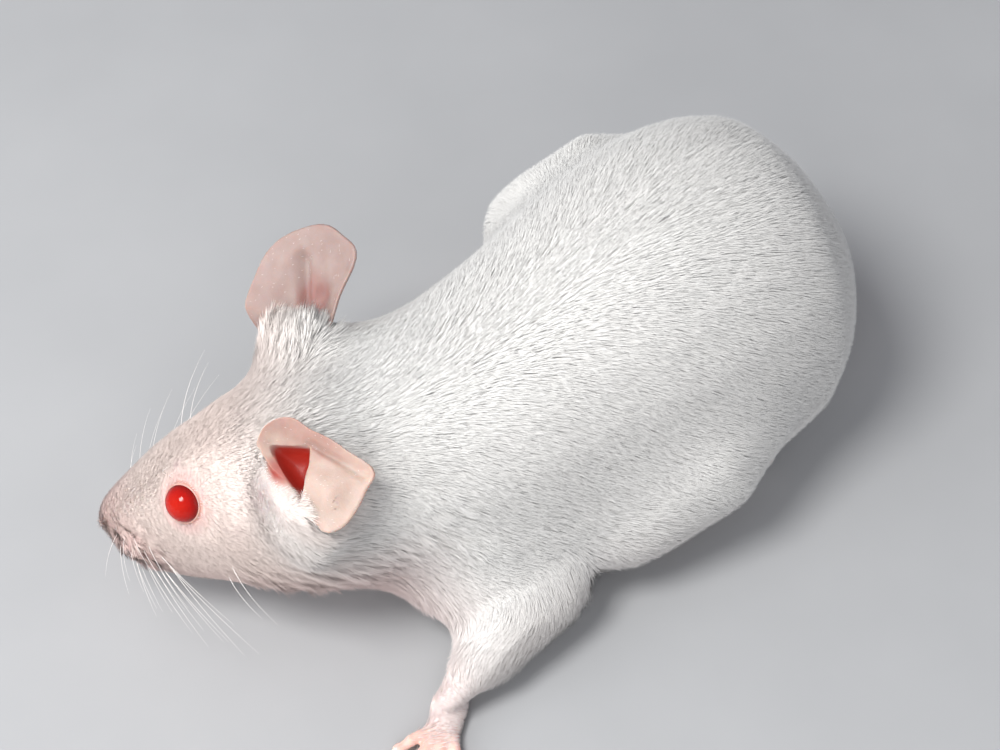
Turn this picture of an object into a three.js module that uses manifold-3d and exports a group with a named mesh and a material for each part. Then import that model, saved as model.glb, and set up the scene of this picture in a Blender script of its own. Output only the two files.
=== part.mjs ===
// A white house mouse, life size, crouched on its four feet with its nose lowered and turned to
// its right, and its left forefoot reached out sideways. The tail lies along its right side.
// Millimetres. The nose points along -X, the mouse's left is -Y, +Z is up and the floor is Z = 0.
import * as THREE from "three";
import { LoftGeometry } from "three/addons/geometries/LoftGeometry.js";
import { mergeVertices } from "three/addons/utils/BufferGeometryUtils.js";
import Module from "manifold-3d";

const wasm = await Module();
wasm.setup();

// ---- Driving dimensions -------------------------------------------------------------------
const GAP = 0.3; // free space between neighbouring pieces

// The trunk and neck, from inside the head to the rump. x runs along the body, y is the midline,
// half is half the width and wide the height at which the body is widest. top and bottom are the
// outline from the side, out to the tips of the coat.
const TRUNK = [
  { x: -23, y: -0.6, half: 8.0, top: 20.5, wide: 12.4, bottom: 4.0 },
  { x: -15, y: -2.2, half: 10.8, top: 23.4, wide: 12.0, bottom: 2.4 },
  { x: -6, y: -3.4, half: 12.6, top: 25.2, wide: 10.8, bottom: 1.6 },
  { x: 3, y: -2.7, half: 13.8, top: 28.4, wide: 10.0, bottom: 1.6 },
  { x: 12, y: -1.4, half: 15.4, top: 31.4, wide: 10.5, bottom: 1.8 },
  { x: 21, y: -0.3, half: 15.8, top: 32.2, wide: 12.5, bottom: 2.2 },
  { x: 29, y: 0.0, half: 13.9, top: 30.2, wide: 13.8, bottom: 3.6 },
  { x: 36.9, y: 0.0, half: 9.6, top: 23.0, wide: 14.0, bottom: 6.5 },
];
const TRUNK_SIDES = 22;
const TRUNK_SQUARE = { above: 2.15, below: 2.6 }; // 2 is an ellipse, more is boxier
const NECK_CUT_X = -5; // where the neck ends and the trunk begins

// The head in its own frame: the nose tip is the origin and x runs back towards the neck.
const HEAD = [
  { x: 0.0, half: 1.5, top: 1.5, wide: 0.0, bottom: -1.5 },
  { x: 1.6, half: 2.3, top: 2.1, wide: -0.1, bottom: -2.8 },
  { x: 4.2, half: 4.0, top: 3.5, wide: -0.9, bottom: -5.2 },
  { x: 7.6, half: 5.6, top: 5.2, wide: -1.0, bottom: -6.8 },
  { x: 11.2, half: 6.9, top: 6.8, wide: -0.9, bottom: -7.6 },
  { x: 15.5, half: 8.4, top: 8.2, wide: -1.2, bottom: -9.0 },
  { x: 20.0, half: 9.4, top: 8.9, wide: -1.4, bottom: -10.4 },
  { x: 25.0, half: 9.4, top: 8.9, wide: -1.4, bottom: -11.4 },
  { x: 30.0, half: 8.4, top: 8.0, wide: -1.0, bottom: -10.0 },
];
const HEAD_SIDES = 24;
const HEAD_SQUARE = { above: 2.2, below: 2.5 };
const NOSE_TIP = new THREE.Vector3(-35.6, 6.95, 6.6);
const HEAD_YAW = THREE.MathUtils.degToRad(-28); // nose turned to the mouse's right
const HEAD_PITCH = THREE.MathUtils.degToRad(-24); // nose lowered
const HEAD_ROLL = THREE.MathUtils.degToRad(-12); // right cheek lowered
const HEAD_CUT = { x: -12.5, yaw: THREE.MathUtils.degToRad(-16) }; // where the neck begins

const EYE_RADIUS = 1.8;
const EYES = {
  left: new THREE.Vector3(12.2, -5.1, 3.6), // centres of the eyeballs in the head's frame
  right: new THREE.Vector3(12.2, 4.7, 3.1),
};

// Each ear is a bowl. Its hollow is centred on root, in the head's frame. tip and open are the
// ways that its length runs and its hollow faces, and lean is how far its mound stands to a side.
// outline lists where the rim leaves a plain oval: angle from the tip, share, and spread.
const EARS = {
  left: {
    root: new THREE.Vector3(23.8, -8.2, 7.6),
    tip: new THREE.Vector3(0.5, -0.86, -0.12),
    open: new THREE.Vector3(-0.3, -0.35, 0.85),
    lean: 0,
    outline: [[84, -0.19, 32], [28, 0.17, 9], [0, -0.09, 16], [169, -0.15, 15], [-90, -0.45, 38]],
  },
  right: {
    root: new THREE.Vector3(22.0, 9.8, 9.4),
    tip: new THREE.Vector3(0.62, 0.42, 0.66),
    open: new THREE.Vector3(-0.66, -0.2, 0.72),
    lean: 2.0,
    outline: [[42, 0.12, 22], [-28, 0.22, 14], [0, 0.04, 14], [144, 0.25, 22]],
  },
};
const EAR = {
  length: 8.3, // from the hollow's centre to the tip
  front: 3.3, // from the hollow's centre to the front rim
  width: 4.7, // half of the ear's width
  depth: 2.8,
  bend: 0.018, // how much the leaf bends back towards its tip, per millimetre
  thickness: 0.6,
};
// The furred mound that an ear stands on, from foot (as shares of the root's place) to a point
// behind the hollow.
const EAR_MOUND = { foot: new THREE.Vector3(1.0, 0.6, 0.5), below: 4.7, radius: [4.2, 2.6] };
const EAR_SIDES = 18;
const EAR_RINGS = [0.2, 0.42, 0.62, 0.8, 0.93, 1]; // shares of the way from hollow to rim
const EAR_FLOOR_RISE = 0.25; // the middle of the hollow stands this much proud of its rim

// Each limb is one or more lines of [x, y, z, radius], from the body outwards.
const LEGS = {
  foreleg_left: [
    [
      [-3.5, -9.0, 14.0, 5.6],
      [-7.0, -11.0, 10.0, 6.6],
      [-9.0, -12.2, 6.8, 5.4],
    ],
    [
      [-8.6, -12.2, 7.4, 5.4],
      [-5.0, -14.8, 6.6, 4.9],
      [-2.0, -16.6, 5.8, 4.1],
    ],
    [
      [-2.2, -16.8, 5.4, 4.2],
      [-7.4, -18.7, 4.9, 3.9],
      [-11.6, -20.8, 3.6, 2.7],
      [-14.8, -22.4, 2.2, 1.8],
    ],
  ],
  foreleg_right: [
    [
      [-3.5, 3.5, 14.0, 5.4],
      [-6.5, 4.8, 9.6, 5.8],
      [-8.0, 5.8, 6.8, 4.8],
    ],
    [
      [-7.6, 6.0, 7.2, 4.8],
      [-3.0, 8.6, 6.4, 4.4],
      [1.0, 9.4, 5.4, 3.8],
    ],
    [
      [0.2, 9.4, 5.0, 3.8],
      [-6.0, 9.4, 4.4, 3.0],
      [-11.6, 9.2, 3.1, 2.1],
      [-15.2, 9.0, 2.0, 1.7],
    ],
  ],
  hindleg_left: [
    [
      [22.5, -8.5, 13.6, 7.0],
      [14.0, -13.2, 10.4, 7.0],
      [6.6, -14.7, 7.8, 5.2],
    ],
    [
      [7.6, -13.8, 6.8, 4.4],
      [15.0, -12.0, 4.8, 3.6],
      [22.0, -10.7, 3.0, 2.2],
    ],
  ],
  hindleg_right: [
    [
      [24.0, 8.0, 17.0, 7.2],
      [17.2, 11.5, 18.2, 7.0],
      [12.2, 12.3, 16.0, 5.9],
    ],
    [
      [12.6, 12.2, 13.4, 5.0],
      [15.6, 12.2, 8.2, 4.0],
      [20.5, 11.8, 3.2, 2.2],
    ],
  ],
};
const LEG_SIDES = 9;

// Where each foot's heel stands, and the way that it points, in degrees from +X.
const FEET = {
  forefoot_left: { kind: "fore", heel: [-14.4, -22.0], heading: 222 },
  forefoot_right: { kind: "fore", heel: [-14.4, 9.0], heading: 180 },
  hindfoot_left: { kind: "hind", heel: [23.0, -10.6], heading: 182 },
  hindfoot_right: { kind: "hind", heel: [21.5, 12.0], heading: 177 },
};
// The feet in their own frame, pointing along +X. sole is a line of [x, z, half width], and each
// toe starts at from, runs out at angle degrees and ends in a claw.
const FOOT = {
  fore: {
    sole: [
      [-0.6, 1.3, 1.5],
      [1.6, 0.95, 1.7],
      [3.4, 0.75, 1.75],
      [4.6, 0.65, 1.2],
    ],
    toes: [
      { from: [3.2, -1.35], angle: -36, length: 2.6 },
      { from: [4.2, -0.55], angle: -12, length: 3.0 },
      { from: [4.2, 0.6], angle: 12, length: 3.0 },
      { from: [3.1, 1.35], angle: 34, length: 2.5 },
    ],
  },
  hind: {
    sole: [
      [-0.8, 1.4, 1.5],
      [3.5, 1.1, 1.7],
      [8.0, 0.95, 2.0],
      [11.6, 0.8, 2.15],
      [13.2, 0.7, 1.5],
    ],
    toes: [
      { from: [9.4, -1.9], angle: -26, length: 2.9 },
      { from: [12.2, -1.25], angle: -9, length: 3.8 },
      { from: [12.8, 0.0], angle: 0, length: 4.0 },
      { from: [12.2, 1.25], angle: 9, length: 3.8 },
      { from: [9.4, 1.9], angle: 26, length: 2.9 },
    ],
  },
};
const SOLE_FLAT = 0.72; // a foot's height over its width
const TOE_RADIUS = 0.62;
const CLAW_LENGTH = 0.8;
const CLAW_RADIUS = 0.3;

// The tail leaves the rump, comes down to the floor and curls forward along the right side.
// Each point is [x, y, z, radius].
const TAIL = [
  [31.0, 0.0, 10.5, 3.2],
  [35.4, 0.8, 8.2, 2.6],
  [39.2, 4.0, 4.4, 2.05],
  [39.8, 10.0, 1.7, 1.8],
  [36.0, 16.0, 1.45, 1.6],
  [29.0, 19.8, 1.3, 1.45],
  [20.0, 21.0, 1.15, 1.3],
  [10.0, 20.6, 1.0, 1.15],
  [1.0, 19.0, 0.85, 1.0],
  [-6.0, 16.6, 0.7, 0.82],
  [-11.0, 15.0, 0.55, 0.66],
];
const TAIL_SIDES = 8;
const TAIL_JOINTS = [4, 7]; // the points of TAIL at which one length ends and the next begins

const COLOURS = {
  coat: 0xf2efe9,
  ear: 0xecc3b2,
  foot: 0xe9b7a6,
  tail: 0xe6b9a8,
  eye: 0xd8301c,
};

// ---- Solids -------------------------------------------------------------------------------

// A closed geometry as a solid, with its doubled vertices merged.
function solidOf(geometry) {
  const bare = geometry.index ? geometry.toNonIndexed() : geometry.clone();
  bare.deleteAttribute("normal");
  bare.deleteAttribute("uv");
  const merged = mergeVertices(bare, 1e-4);
  return new wasm.Manifold(
    new wasm.Mesh({
      numProp: 3,
      vertProperties: merged.attributes.position.array,
      triVerts: new Uint32Array(merged.index.array),
    }),
  );
}

// The largest of the bodies that a cut leaves.
function largest(solid) {
  return solid.decompose().reduce((a, b) => (a.volume() > b.volume() ? a : b));
}

function joined(solids) {
  return solids.reduce((a, b) => a.add(b));
}

function without(solid, others) {
  return others.reduce((rest, other) => rest.subtract(other), solid);
}

// The part of a solid on the far side of the plane through point, the way that normal points.
function beyond(solid, point, normal) {
  return solid.trimByPlane(normal.toArray(), point.dot(normal));
}

function inFrame(solid, matrix) {
  return solid.transform(matrix.elements);
}

// A smooth line through rows of three values.
function through(rows) {
  return new THREE.CatmullRomCurve3(
    rows.map((row) => new THREE.Vector3(...row)),
    false,
    "catmullrom",
    0.5,
  );
}

// How far round a rounded end each ring lies, as a share of a right angle.
const END_TURNS = [0.13, 0.4, 0.7, 1];
const BALL_TURNS = [0.28, 0.62, 1];

// Ring positions along a body of n spans, with their share of the full section's size. The first
// and last spans are the rounded ends.
function bodyRings(spans, perSpan) {
  const round = END_TURNS.map((turn) => {
    const angle = (turn * Math.PI) / 2;
    return { at: 1 - Math.cos(angle), size: Math.sin(angle) };
  });
  const first = round.map(({ at, size }) => ({ t: at / spans, size }));
  const last = [...round].reverse().slice(1);
  const middle = [];
  for (let i = 1; i <= (spans - 2) * perSpan; i++)
    middle.push({ t: (1 + i / perSpan) / spans, size: 1 });
  return [...first, ...middle, ...last.map(({ at, size }) => ({ t: 1 - at / spans, size }))];
}

// A body lofted through upright sections that stand across x.
function bodyLoft(stations, { sides, square, perSpan = 2, grow = 0 }) {
  const places = through(stations.map((s) => [s.x, s.y ?? 0, s.wide]));
  const sizes = through(stations.map((s) => [s.half, s.top - s.wide, s.wide - s.bottom]));
  const sections = bodyRings(stations.length - 1, perSpan).map(({ t, size }) => {
    const at = places.getPoint(t);
    const { x: half, y: up, z: down } = sizes.getPoint(t);
    return Array.from({ length: sides }, (_, i) => {
      const angle = (i / sides) * 2 * Math.PI;
      const c = Math.cos(angle);
      const s = Math.sin(angle);
      const power = 2 / (s > 0 ? square.above : square.below);
      const across = Math.sign(c) * Math.abs(c) ** power * (half * size + grow);
      const tall = (s > 0 ? up : down) * size + grow;
      const height = Math.sign(s) * Math.abs(s) ** power * tall;
      return new THREE.Vector3(at.x, at.y + across, at.z + height);
    });
  });
  sections[0].forEach((p) => (p.x -= grow));
  sections[sections.length - 1].forEach((p) => (p.x += grow));
  return solidOf(new LoftGeometry(sections, { capStart: true, capEnd: true }));
}

// A limb lofted through round sections along a bent line, with ball ends. Each point is
// [x, y, z, radius], and flat squeezes the sections in height.
function limbLoft(points, { sides, perSpan = 2, grow = 0, flat = 1, ends = BALL_TURNS }) {
  const spans = points.length - 1;
  const line = through(points.map((p) => p.slice(0, 3)));
  const radii = through(points.map((p) => [p[3], 0, 0]));
  const rings = [];
  for (let i = 0; i <= spans * perSpan; i++) rings.push({ t: i / (spans * perSpan), turn: 1 });
  for (const turn of [...ends].reverse().slice(1)) {
    rings.unshift({ t: 0, turn });
    rings.push({ t: 1, turn });
  }
  const sections = rings.map(({ t, turn }) => {
    const along = line.getTangent(t);
    const radius = radii.getPoint(t).x + grow;
    const reach = radius * Math.cos((turn * Math.PI) / 2) * (t === 0 ? -1 : 1);
    const at = line.getPoint(t).addScaledVector(along, turn === 1 ? 0 : reach);
    const upright = new THREE.Vector3(0, 0, 1);
    if (Math.abs(along.z) > 0.9) upright.set(1, 0, 0);
    const side = new THREE.Vector3().crossVectors(upright, along).normalize();
    const lift = new THREE.Vector3().crossVectors(along, side);
    const size = radius * Math.sin((turn * Math.PI) / 2);
    return Array.from({ length: sides }, (_, i) => {
      const angle = (i / sides) * 2 * Math.PI;
      return at
        .clone()
        .addScaledVector(side, size * Math.cos(angle))
        .addScaledVector(lift, size * flat * Math.sin(angle));
    });
  });
  return solidOf(new LoftGeometry(sections, { capStart: true, capEnd: true }));
}

// ---- Head ---------------------------------------------------------------------------------

// The head's frame: turned about its nose, then moved to where the nose is.
const headFrame = new THREE.Matrix4()
  .makeRotationFromEuler(new THREE.Euler(HEAD_ROLL, HEAD_PITCH, HEAD_YAW, "ZYX"))
  .setPosition(NOSE_TIP);

function headLoft(grow) {
  const loft = bodyLoft(HEAD, { sides: HEAD_SIDES, square: HEAD_SQUARE, perSpan: 1, grow });
  const mounds = Object.values(EARS).map((ear) => {
    const foot = ear.root.clone().multiply(EAR_MOUND.foot).applyMatrix4(headFrame);
    const top = new THREE.Vector3(0, ear.lean, -EAR_MOUND.below).applyMatrix4(earFrame(ear));
    const line = [
      [...foot.toArray(), EAR_MOUND.radius[0]],
      [...top.toArray(), EAR_MOUND.radius[1]],
    ];
    return limbLoft(line, { sides: 8, perSpan: 1, grow });
  });
  return joined([inFrame(loft, headFrame), ...mounds]);
}

function eyeBall(centre, grow) {
  const ball = new THREE.SphereGeometry(EYE_RADIUS + grow, 12, 9);
  ball.translate(...centre.toArray());
  return inFrame(solidOf(ball), headFrame);
}

// The frame of an ear: x along its length, y across it and z out of its hollow.
function earFrame({ root, tip, open }) {
  const along = tip.clone().normalize();
  const out = open.clone().addScaledVector(along, -open.dot(along)).normalize();
  const across = new THREE.Vector3().crossVectors(out, along);
  return new THREE.Matrix4()
    .makeBasis(along, across, out)
    .setPosition(root.clone().applyMatrix4(headFrame));
}

// How far an ear's rim stands out at an angle, as a share of a plain oval.
function rimShare(ear, angle) {
  const degrees = THREE.MathUtils.radToDeg(angle);
  return ear.outline.reduce((sum, [at, share, spread]) => {
    const gap = THREE.MathUtils.euclideanModulo(degrees - at + 180, 360) - 180;
    return sum + share * Math.exp(-((gap / spread) ** 2));
  }, 1);
}

// The ear as a bowl with a thick wall: rings out over its back and in again over its hollow face.
function earLoft(ear) {
  const ring = (share, lift) =>
    Array.from({ length: EAR_SIDES }, (_, i) => {
      const angle = (i / EAR_SIDES) * 2 * Math.PI;
      const oval = Math.cos(angle) > 0 ? EAR.length : EAR.front;
      const out = share * rimShare(ear, Math.atan2(EAR.width * Math.sin(angle), oval * Math.cos(angle)));
      const x = out * oval * Math.cos(angle);
      const y = out * EAR.width * Math.sin(angle);
      const z = -EAR.depth * (1 - share ** 1.6) - EAR.bend * x * x;
      return new THREE.Vector3(x, y, z + lift);
    });
  const back = EAR_RINGS.map((share) => ring(share, -EAR.thickness));
  const face = [...EAR_RINGS].reverse().map((share) => ring(share, 0));
  const floor = ring(EAR_RINGS[0] / 2, EAR_FLOOR_RISE);
  const rings = [...back, ...face, floor];
  return inFrame(solidOf(new LoftGeometry(rings, { capStart: true, capEnd: true })), earFrame(ear));
}

// ---- Body and limbs -----------------------------------------------------------------------

function trunkLoft(grow) {
  return bodyLoft(TRUNK, { sides: TRUNK_SIDES, square: TRUNK_SQUARE, grow });
}

function legSolid(name, grow = 0) {
  return joined(LEGS[name].map((line) => limbLoft(line, { sides: LEG_SIDES, perSpan: 1, grow })));
}

// A foot: a flattened sole with its toes and claws.
function footSolid({ kind, heel, heading }, grow = 0) {
  const { sole, toes } = FOOT[kind];
  const soleLine = sole.map(([x, z, half]) => [x, 0, z, half]);
  const parts = [limbLoft(soleLine, { sides: 8, flat: SOLE_FLAT, grow, perSpan: 1 })];
  for (const { from, angle, length } of toes) {
    const turn = THREE.MathUtils.degToRad(angle);
    const at = (reach, z, radius) => [
      from[0] + reach * Math.cos(turn),
      from[1] + reach * Math.sin(turn),
      z,
      radius,
    ];
    const toe = [
      at(-0.6, 0.7, TOE_RADIUS),
      at(length * 0.5, 1.0, TOE_RADIUS * 0.9),
      at(length, 0.5, TOE_RADIUS * 0.86),
    ];
    const claw = [
      at(length, 0.75, CLAW_RADIUS),
      at(length + TOE_RADIUS + CLAW_LENGTH, 0.4, CLAW_RADIUS * 0.4),
    ];
    parts.push(limbLoft(toe, { sides: 5, grow, perSpan: 1, ends: [0.5, 1] }));
    parts.push(limbLoft(claw, { sides: 4, grow, perSpan: 1, ends: [1] }));
  }
  const stand = new THREE.Matrix4()
    .makeRotationZ(THREE.MathUtils.degToRad(heading))
    .setPosition(heel[0], heel[1], 0);
  return inFrame(joined(parts), stand);
}

function tailLength(first, last) {
  const line = through(TAIL.map((p) => p.slice(0, 3)));
  const radii = through(TAIL.map((p) => [p[3], 0, 0]));
  const points = [];
  for (let i = first * 2; i <= last * 2; i++) {
    const t = i / 2 / (TAIL.length - 1);
    points.push([...line.getPoint(t).toArray(), radii.getPoint(t).x]);
  }
  return points;
}

// ---- The mouse ----------------------------------------------------------------------------

function coat() {
  return new THREE.MeshStandardMaterial({ color: COLOURS.coat, roughness: 0.85, metalness: 0 });
}

function bareSkin(colour) {
  return new THREE.MeshStandardMaterial({ color: colour, roughness: 0.6, metalness: 0 });
}

function eyeGloss() {
  return new THREE.MeshStandardMaterial({ color: COLOURS.eye, roughness: 0.08, metalness: 0 });
}

// A solid as a named mesh, standing on the floor.
function meshOf(name, solid, material) {
  const standing = largest(beyond(solid, new THREE.Vector3(), new THREE.Vector3(0, 0, 1)));
  const { vertProperties, triVerts, numProp, numVert } = standing.getMesh();
  const positions = new Float32Array(numVert * 3);
  for (let i = 0; i < numVert; i++)
    positions.set(vertProperties.subarray(i * numProp, i * numProp + 3), i * 3);
  const geometry = new THREE.BufferGeometry()
    .setAttribute("position", new THREE.BufferAttribute(positions, 3))
    .setIndex(new THREE.BufferAttribute(new Uint32Array(triVerts), 1));
  geometry.computeVertexNormals();
  const mesh = new THREE.Mesh(geometry, material);
  mesh.name = name;
  return mesh;
}

const mouse = new THREE.Group();

const eyes = Object.values(EYES).map((centre) => eyeBall(centre, GAP));
mouse.add(meshOf("eye_left", eyeBall(EYES.left, 0), eyeGloss()));
mouse.add(meshOf("eye_right", eyeBall(EYES.right, 0), eyeGloss()));

for (const [name, foot] of Object.entries(FEET))
  mouse.add(meshOf(name, footSolid(foot), bareSkin(COLOURS.foot)));
const feetRoom = Object.values(FEET).map((foot) => footSolid(foot, GAP));
const hindRoom = ["hindleg_left", "hindleg_right"].map((name) => legSolid(name, GAP));
for (const name of Object.keys(LEGS)) {
  const room = name.startsWith("fore") ? [...feetRoom, ...hindRoom] : feetRoom;
  mouse.add(meshOf(name, without(legSolid(name), room), coat()));
}

// The trunk, neck and head are one body, parted by two planes.
const body = joined([trunkLoft(0), headLoft(0)]);
const bodyRoom = joined([trunkLoft(GAP), headLoft(GAP)]);
const limbRoom = [...Object.keys(LEGS).map((name) => legSolid(name, GAP)), ...feetRoom, ...eyes];
const flesh = without(body, limbRoom);
const back = new THREE.Vector3(1, 0, 0);
const neckBack = new THREE.Vector3(Math.cos(HEAD_CUT.yaw), Math.sin(HEAD_CUT.yaw), 0);
const headEnd = new THREE.Vector3(HEAD_CUT.x, 0, 0);
const neckStart = headEnd.clone().addScaledVector(neckBack, GAP);
const neckEnd = new THREE.Vector3(NECK_CUT_X, 0, 0);
const trunkStart = new THREE.Vector3(NECK_CUT_X + GAP, 0, 0);
const front = beyond(flesh, neckEnd, back.clone().negate());
mouse.add(meshOf("head", beyond(front, headEnd, neckBack.clone().negate()), coat()));
mouse.add(meshOf("neck", beyond(front, neckStart, neckBack), coat()));
mouse.add(meshOf("trunk", beyond(flesh, trunkStart, back), coat()));

for (const [side, ear] of Object.entries(EARS))
  mouse.add(meshOf("ear_" + side, earLoft(ear).subtract(bodyRoom), bareSkin(COLOURS.ear)));

// The tail in three lengths, each cut square where the next begins.
const tail = limbLoft(tailLength(0, TAIL.length - 1), { sides: TAIL_SIDES, perSpan: 1 });
const tailLine = through(TAIL.map((p) => p.slice(0, 3)));
const joints = TAIL_JOINTS.map((joint) => {
  const t = joint / (TAIL.length - 1);
  return { point: tailLine.getPoint(t), along: tailLine.getTangent(t) };
});
let rest = without(tail, [bodyRoom, ...feetRoom]);
["tail_base", "tail_middle"].forEach((name, i) => {
  const { point, along } = joints[i];
  mouse.add(meshOf(name, beyond(rest, point, along.clone().negate()), bareSkin(COLOURS.tail)));
  rest = beyond(rest, point.clone().addScaledVector(along, GAP), along);
});
mouse.add(meshOf("tail_tip", rest, bareSkin(COLOURS.tail)));

// The origin is under the middle of the mouse.
const bounds = new THREE.Box3().setFromObject(mouse);
const middle = bounds.getCenter(new THREE.Vector3());
for (const mesh of mouse.children) mesh.geometry.translate(-middle.x, -middle.y, -bounds.min.z);

export default mouse;
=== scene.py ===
# %% [markdown]
# # A white house mouse
# A life-size albino mouse, crouched on a pale floor with its nose lowered and turned aside.
# The flesh comes as named solids. Here they become one skin with eyelids, nostrils, ears and
# toes, dressed in a short coat of solid tufts. We start with the frame that everything shares.

import math

import bmesh
import bpy
import numpy as np
from mathutils import Matrix, Vector
from mathutils.bvhtree import BVHTree


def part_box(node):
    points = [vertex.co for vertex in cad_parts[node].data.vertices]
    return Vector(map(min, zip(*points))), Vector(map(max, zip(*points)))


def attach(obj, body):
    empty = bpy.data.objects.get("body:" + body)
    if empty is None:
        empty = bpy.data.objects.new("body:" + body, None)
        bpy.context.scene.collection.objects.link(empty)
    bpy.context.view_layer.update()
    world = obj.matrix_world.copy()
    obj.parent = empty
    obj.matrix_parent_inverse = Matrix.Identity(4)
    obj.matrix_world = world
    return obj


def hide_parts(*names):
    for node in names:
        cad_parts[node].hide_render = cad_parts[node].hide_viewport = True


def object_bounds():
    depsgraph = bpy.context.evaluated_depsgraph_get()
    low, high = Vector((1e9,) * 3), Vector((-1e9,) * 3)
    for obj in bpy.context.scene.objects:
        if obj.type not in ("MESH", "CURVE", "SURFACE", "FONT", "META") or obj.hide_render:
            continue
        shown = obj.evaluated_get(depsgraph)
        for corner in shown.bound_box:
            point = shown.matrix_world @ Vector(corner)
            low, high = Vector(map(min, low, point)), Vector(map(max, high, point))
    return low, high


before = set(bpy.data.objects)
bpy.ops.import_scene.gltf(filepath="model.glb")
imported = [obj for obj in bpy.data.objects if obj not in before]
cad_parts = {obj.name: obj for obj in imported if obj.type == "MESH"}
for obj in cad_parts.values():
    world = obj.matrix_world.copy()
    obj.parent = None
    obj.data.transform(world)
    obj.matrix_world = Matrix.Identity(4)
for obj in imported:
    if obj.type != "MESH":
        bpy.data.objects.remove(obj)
CAD_LOW, CAD_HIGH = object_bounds()
MM = 0.001
box_mm = [round((high - low) / MM, 1) for low, high in zip(CAD_LOW, CAD_HIGH)]
print("solids", len(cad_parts), "box mm", box_mm)

# %% [markdown]
# ## Landmarks
# Fur direction, eyelids and markings are all described from a few landmarks: the nose, the
# way the head points, the eyes and the limbs. Keeping them as named values in one place lets
# every later step agree on where things are.

# %% Landmarks of the body
NOSE = np.array([-38.56, 10.255, 6.6]) * MM
HEAD_TURN = (
    Matrix.Rotation(math.radians(-28), 3, "Z")
    @ Matrix.Rotation(math.radians(-24), 3, "Y")
    @ Matrix.Rotation(math.radians(-12), 3, "X")
)
HEAD_AXES = np.array(HEAD_TURN)
EYE_RADIUS = 1.8 * MM


def middle(node):
    low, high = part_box(node)
    return (np.array(low) + np.array(high)) / 2


def head_places(points):
    """Places in the head's own frame: x back from the nose, y to the right, z up."""
    return (points - NOSE) @ HEAD_AXES


def from_head(place):
    return NOSE + HEAD_AXES @ np.array(place, float)


EYES = {side: middle("eye_" + side) for side in ("left", "right")}
print("eyes at mm", {s: np.round(e / MM, 2).tolist() for s, e in EYES.items()})

# %% [markdown]
# ## One skin from many solids
# A real mouse has no seams, so the solids of flesh are swollen a little, joined, and turned
# into one even mesh by a voxel remesh. That closes the thin cuts between them. Ears, feet and
# the tail are finer than the voxels, so they are made apart and joined afterwards.

# %% Joining the flesh
BODY_NODES = ["head", "neck", "trunk", "foreleg_left", "foreleg_right", "hindleg_left", "hindleg_right"]
FEET_NODES = ["forefoot_left", "forefoot_right", "hindfoot_left", "hindfoot_right"]
EAR_NODES = ["ear_left", "ear_right"]
TAIL_NODES = ["tail_base", "tail_middle", "tail_tip"]


def swollen(node, by):
    """A merged copy of a solid, moved out along its normals."""
    bm = bmesh.new()
    bm.from_mesh(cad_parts[node].data)
    bmesh.ops.remove_doubles(bm, verts=bm.verts, dist=1e-6)
    bm.normal_update()
    moves = [v.normal * by for v in bm.verts]
    for v, move in zip(bm.verts, moves):
        v.co += move
    return bm


def linked(name, mesh):
    """A new object in the scene that shows the mesh."""
    made = bpy.data.objects.new(name, mesh)
    bpy.context.scene.collection.objects.link(made)
    return made


def object_from(name, bm):
    mesh = bpy.data.meshes.new(name)
    bm.to_mesh(mesh)
    bm.free()
    return linked(name, mesh)


def reworked(mesh, *steps):
    """Run steps on a mesh as a bmesh, and give back what the last one returned."""
    bm = bmesh.new()
    bm.from_mesh(mesh)
    for step in steps:
        result = step(bm)
    bm.to_mesh(mesh)
    bm.free()
    return result


def triangulate(bm):
    bmesh.ops.triangulate(bm, faces=bm.faces)


def face_outwards(bm):
    bmesh.ops.recalc_face_normals(bm, faces=bm.faces)


def tree_of(mesh):
    """A search tree for the nearest place of a mesh."""
    bm = bmesh.new()
    bm.from_mesh(mesh)
    tree = BVHTree.FromBMesh(bm)
    bm.free()
    return tree


def shade_smooth(mesh):
    mesh.polygons.foreach_set("use_smooth", np.ones(len(mesh.polygons), bool))


def applied(target):
    """The object with its modifiers made real."""
    bpy.context.view_layer.update()
    graph = bpy.context.evaluated_depsgraph_get()
    mesh = bpy.data.meshes.new_from_object(target.evaluated_get(graph))
    target.modifiers.clear()
    old = target.data
    target.data = mesh
    bpy.data.meshes.remove(old)
    return target


def remeshed(name, nodes, swell, voxel, balls):
    """One even mesh round the swollen nodes and the balls."""
    whole = bmesh.new()
    for node in nodes:
        part = swollen(node, swell)
        mesh = bpy.data.meshes.new("part")
        part.to_mesh(mesh)
        part.free()
        whole.from_mesh(mesh)
        bpy.data.meshes.remove(mesh)
    for centre, radius in balls:
        bmesh.ops.create_icosphere(
            whole, subdivisions=3, radius=radius, matrix=Matrix.Translation(centre)
        )
    made = object_from(name, whole)
    remesh = made.modifiers.new("even", "REMESH")
    remesh.mode = "VOXEL"
    remesh.voxel_size = voxel
    return applied(made)


SWELL = 0.2 * MM
BODY_VOXEL = 0.5 * MM
EYE_BED = 2.0 * MM  # radius of the flesh put back where the eyeballs leave a gap
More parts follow.
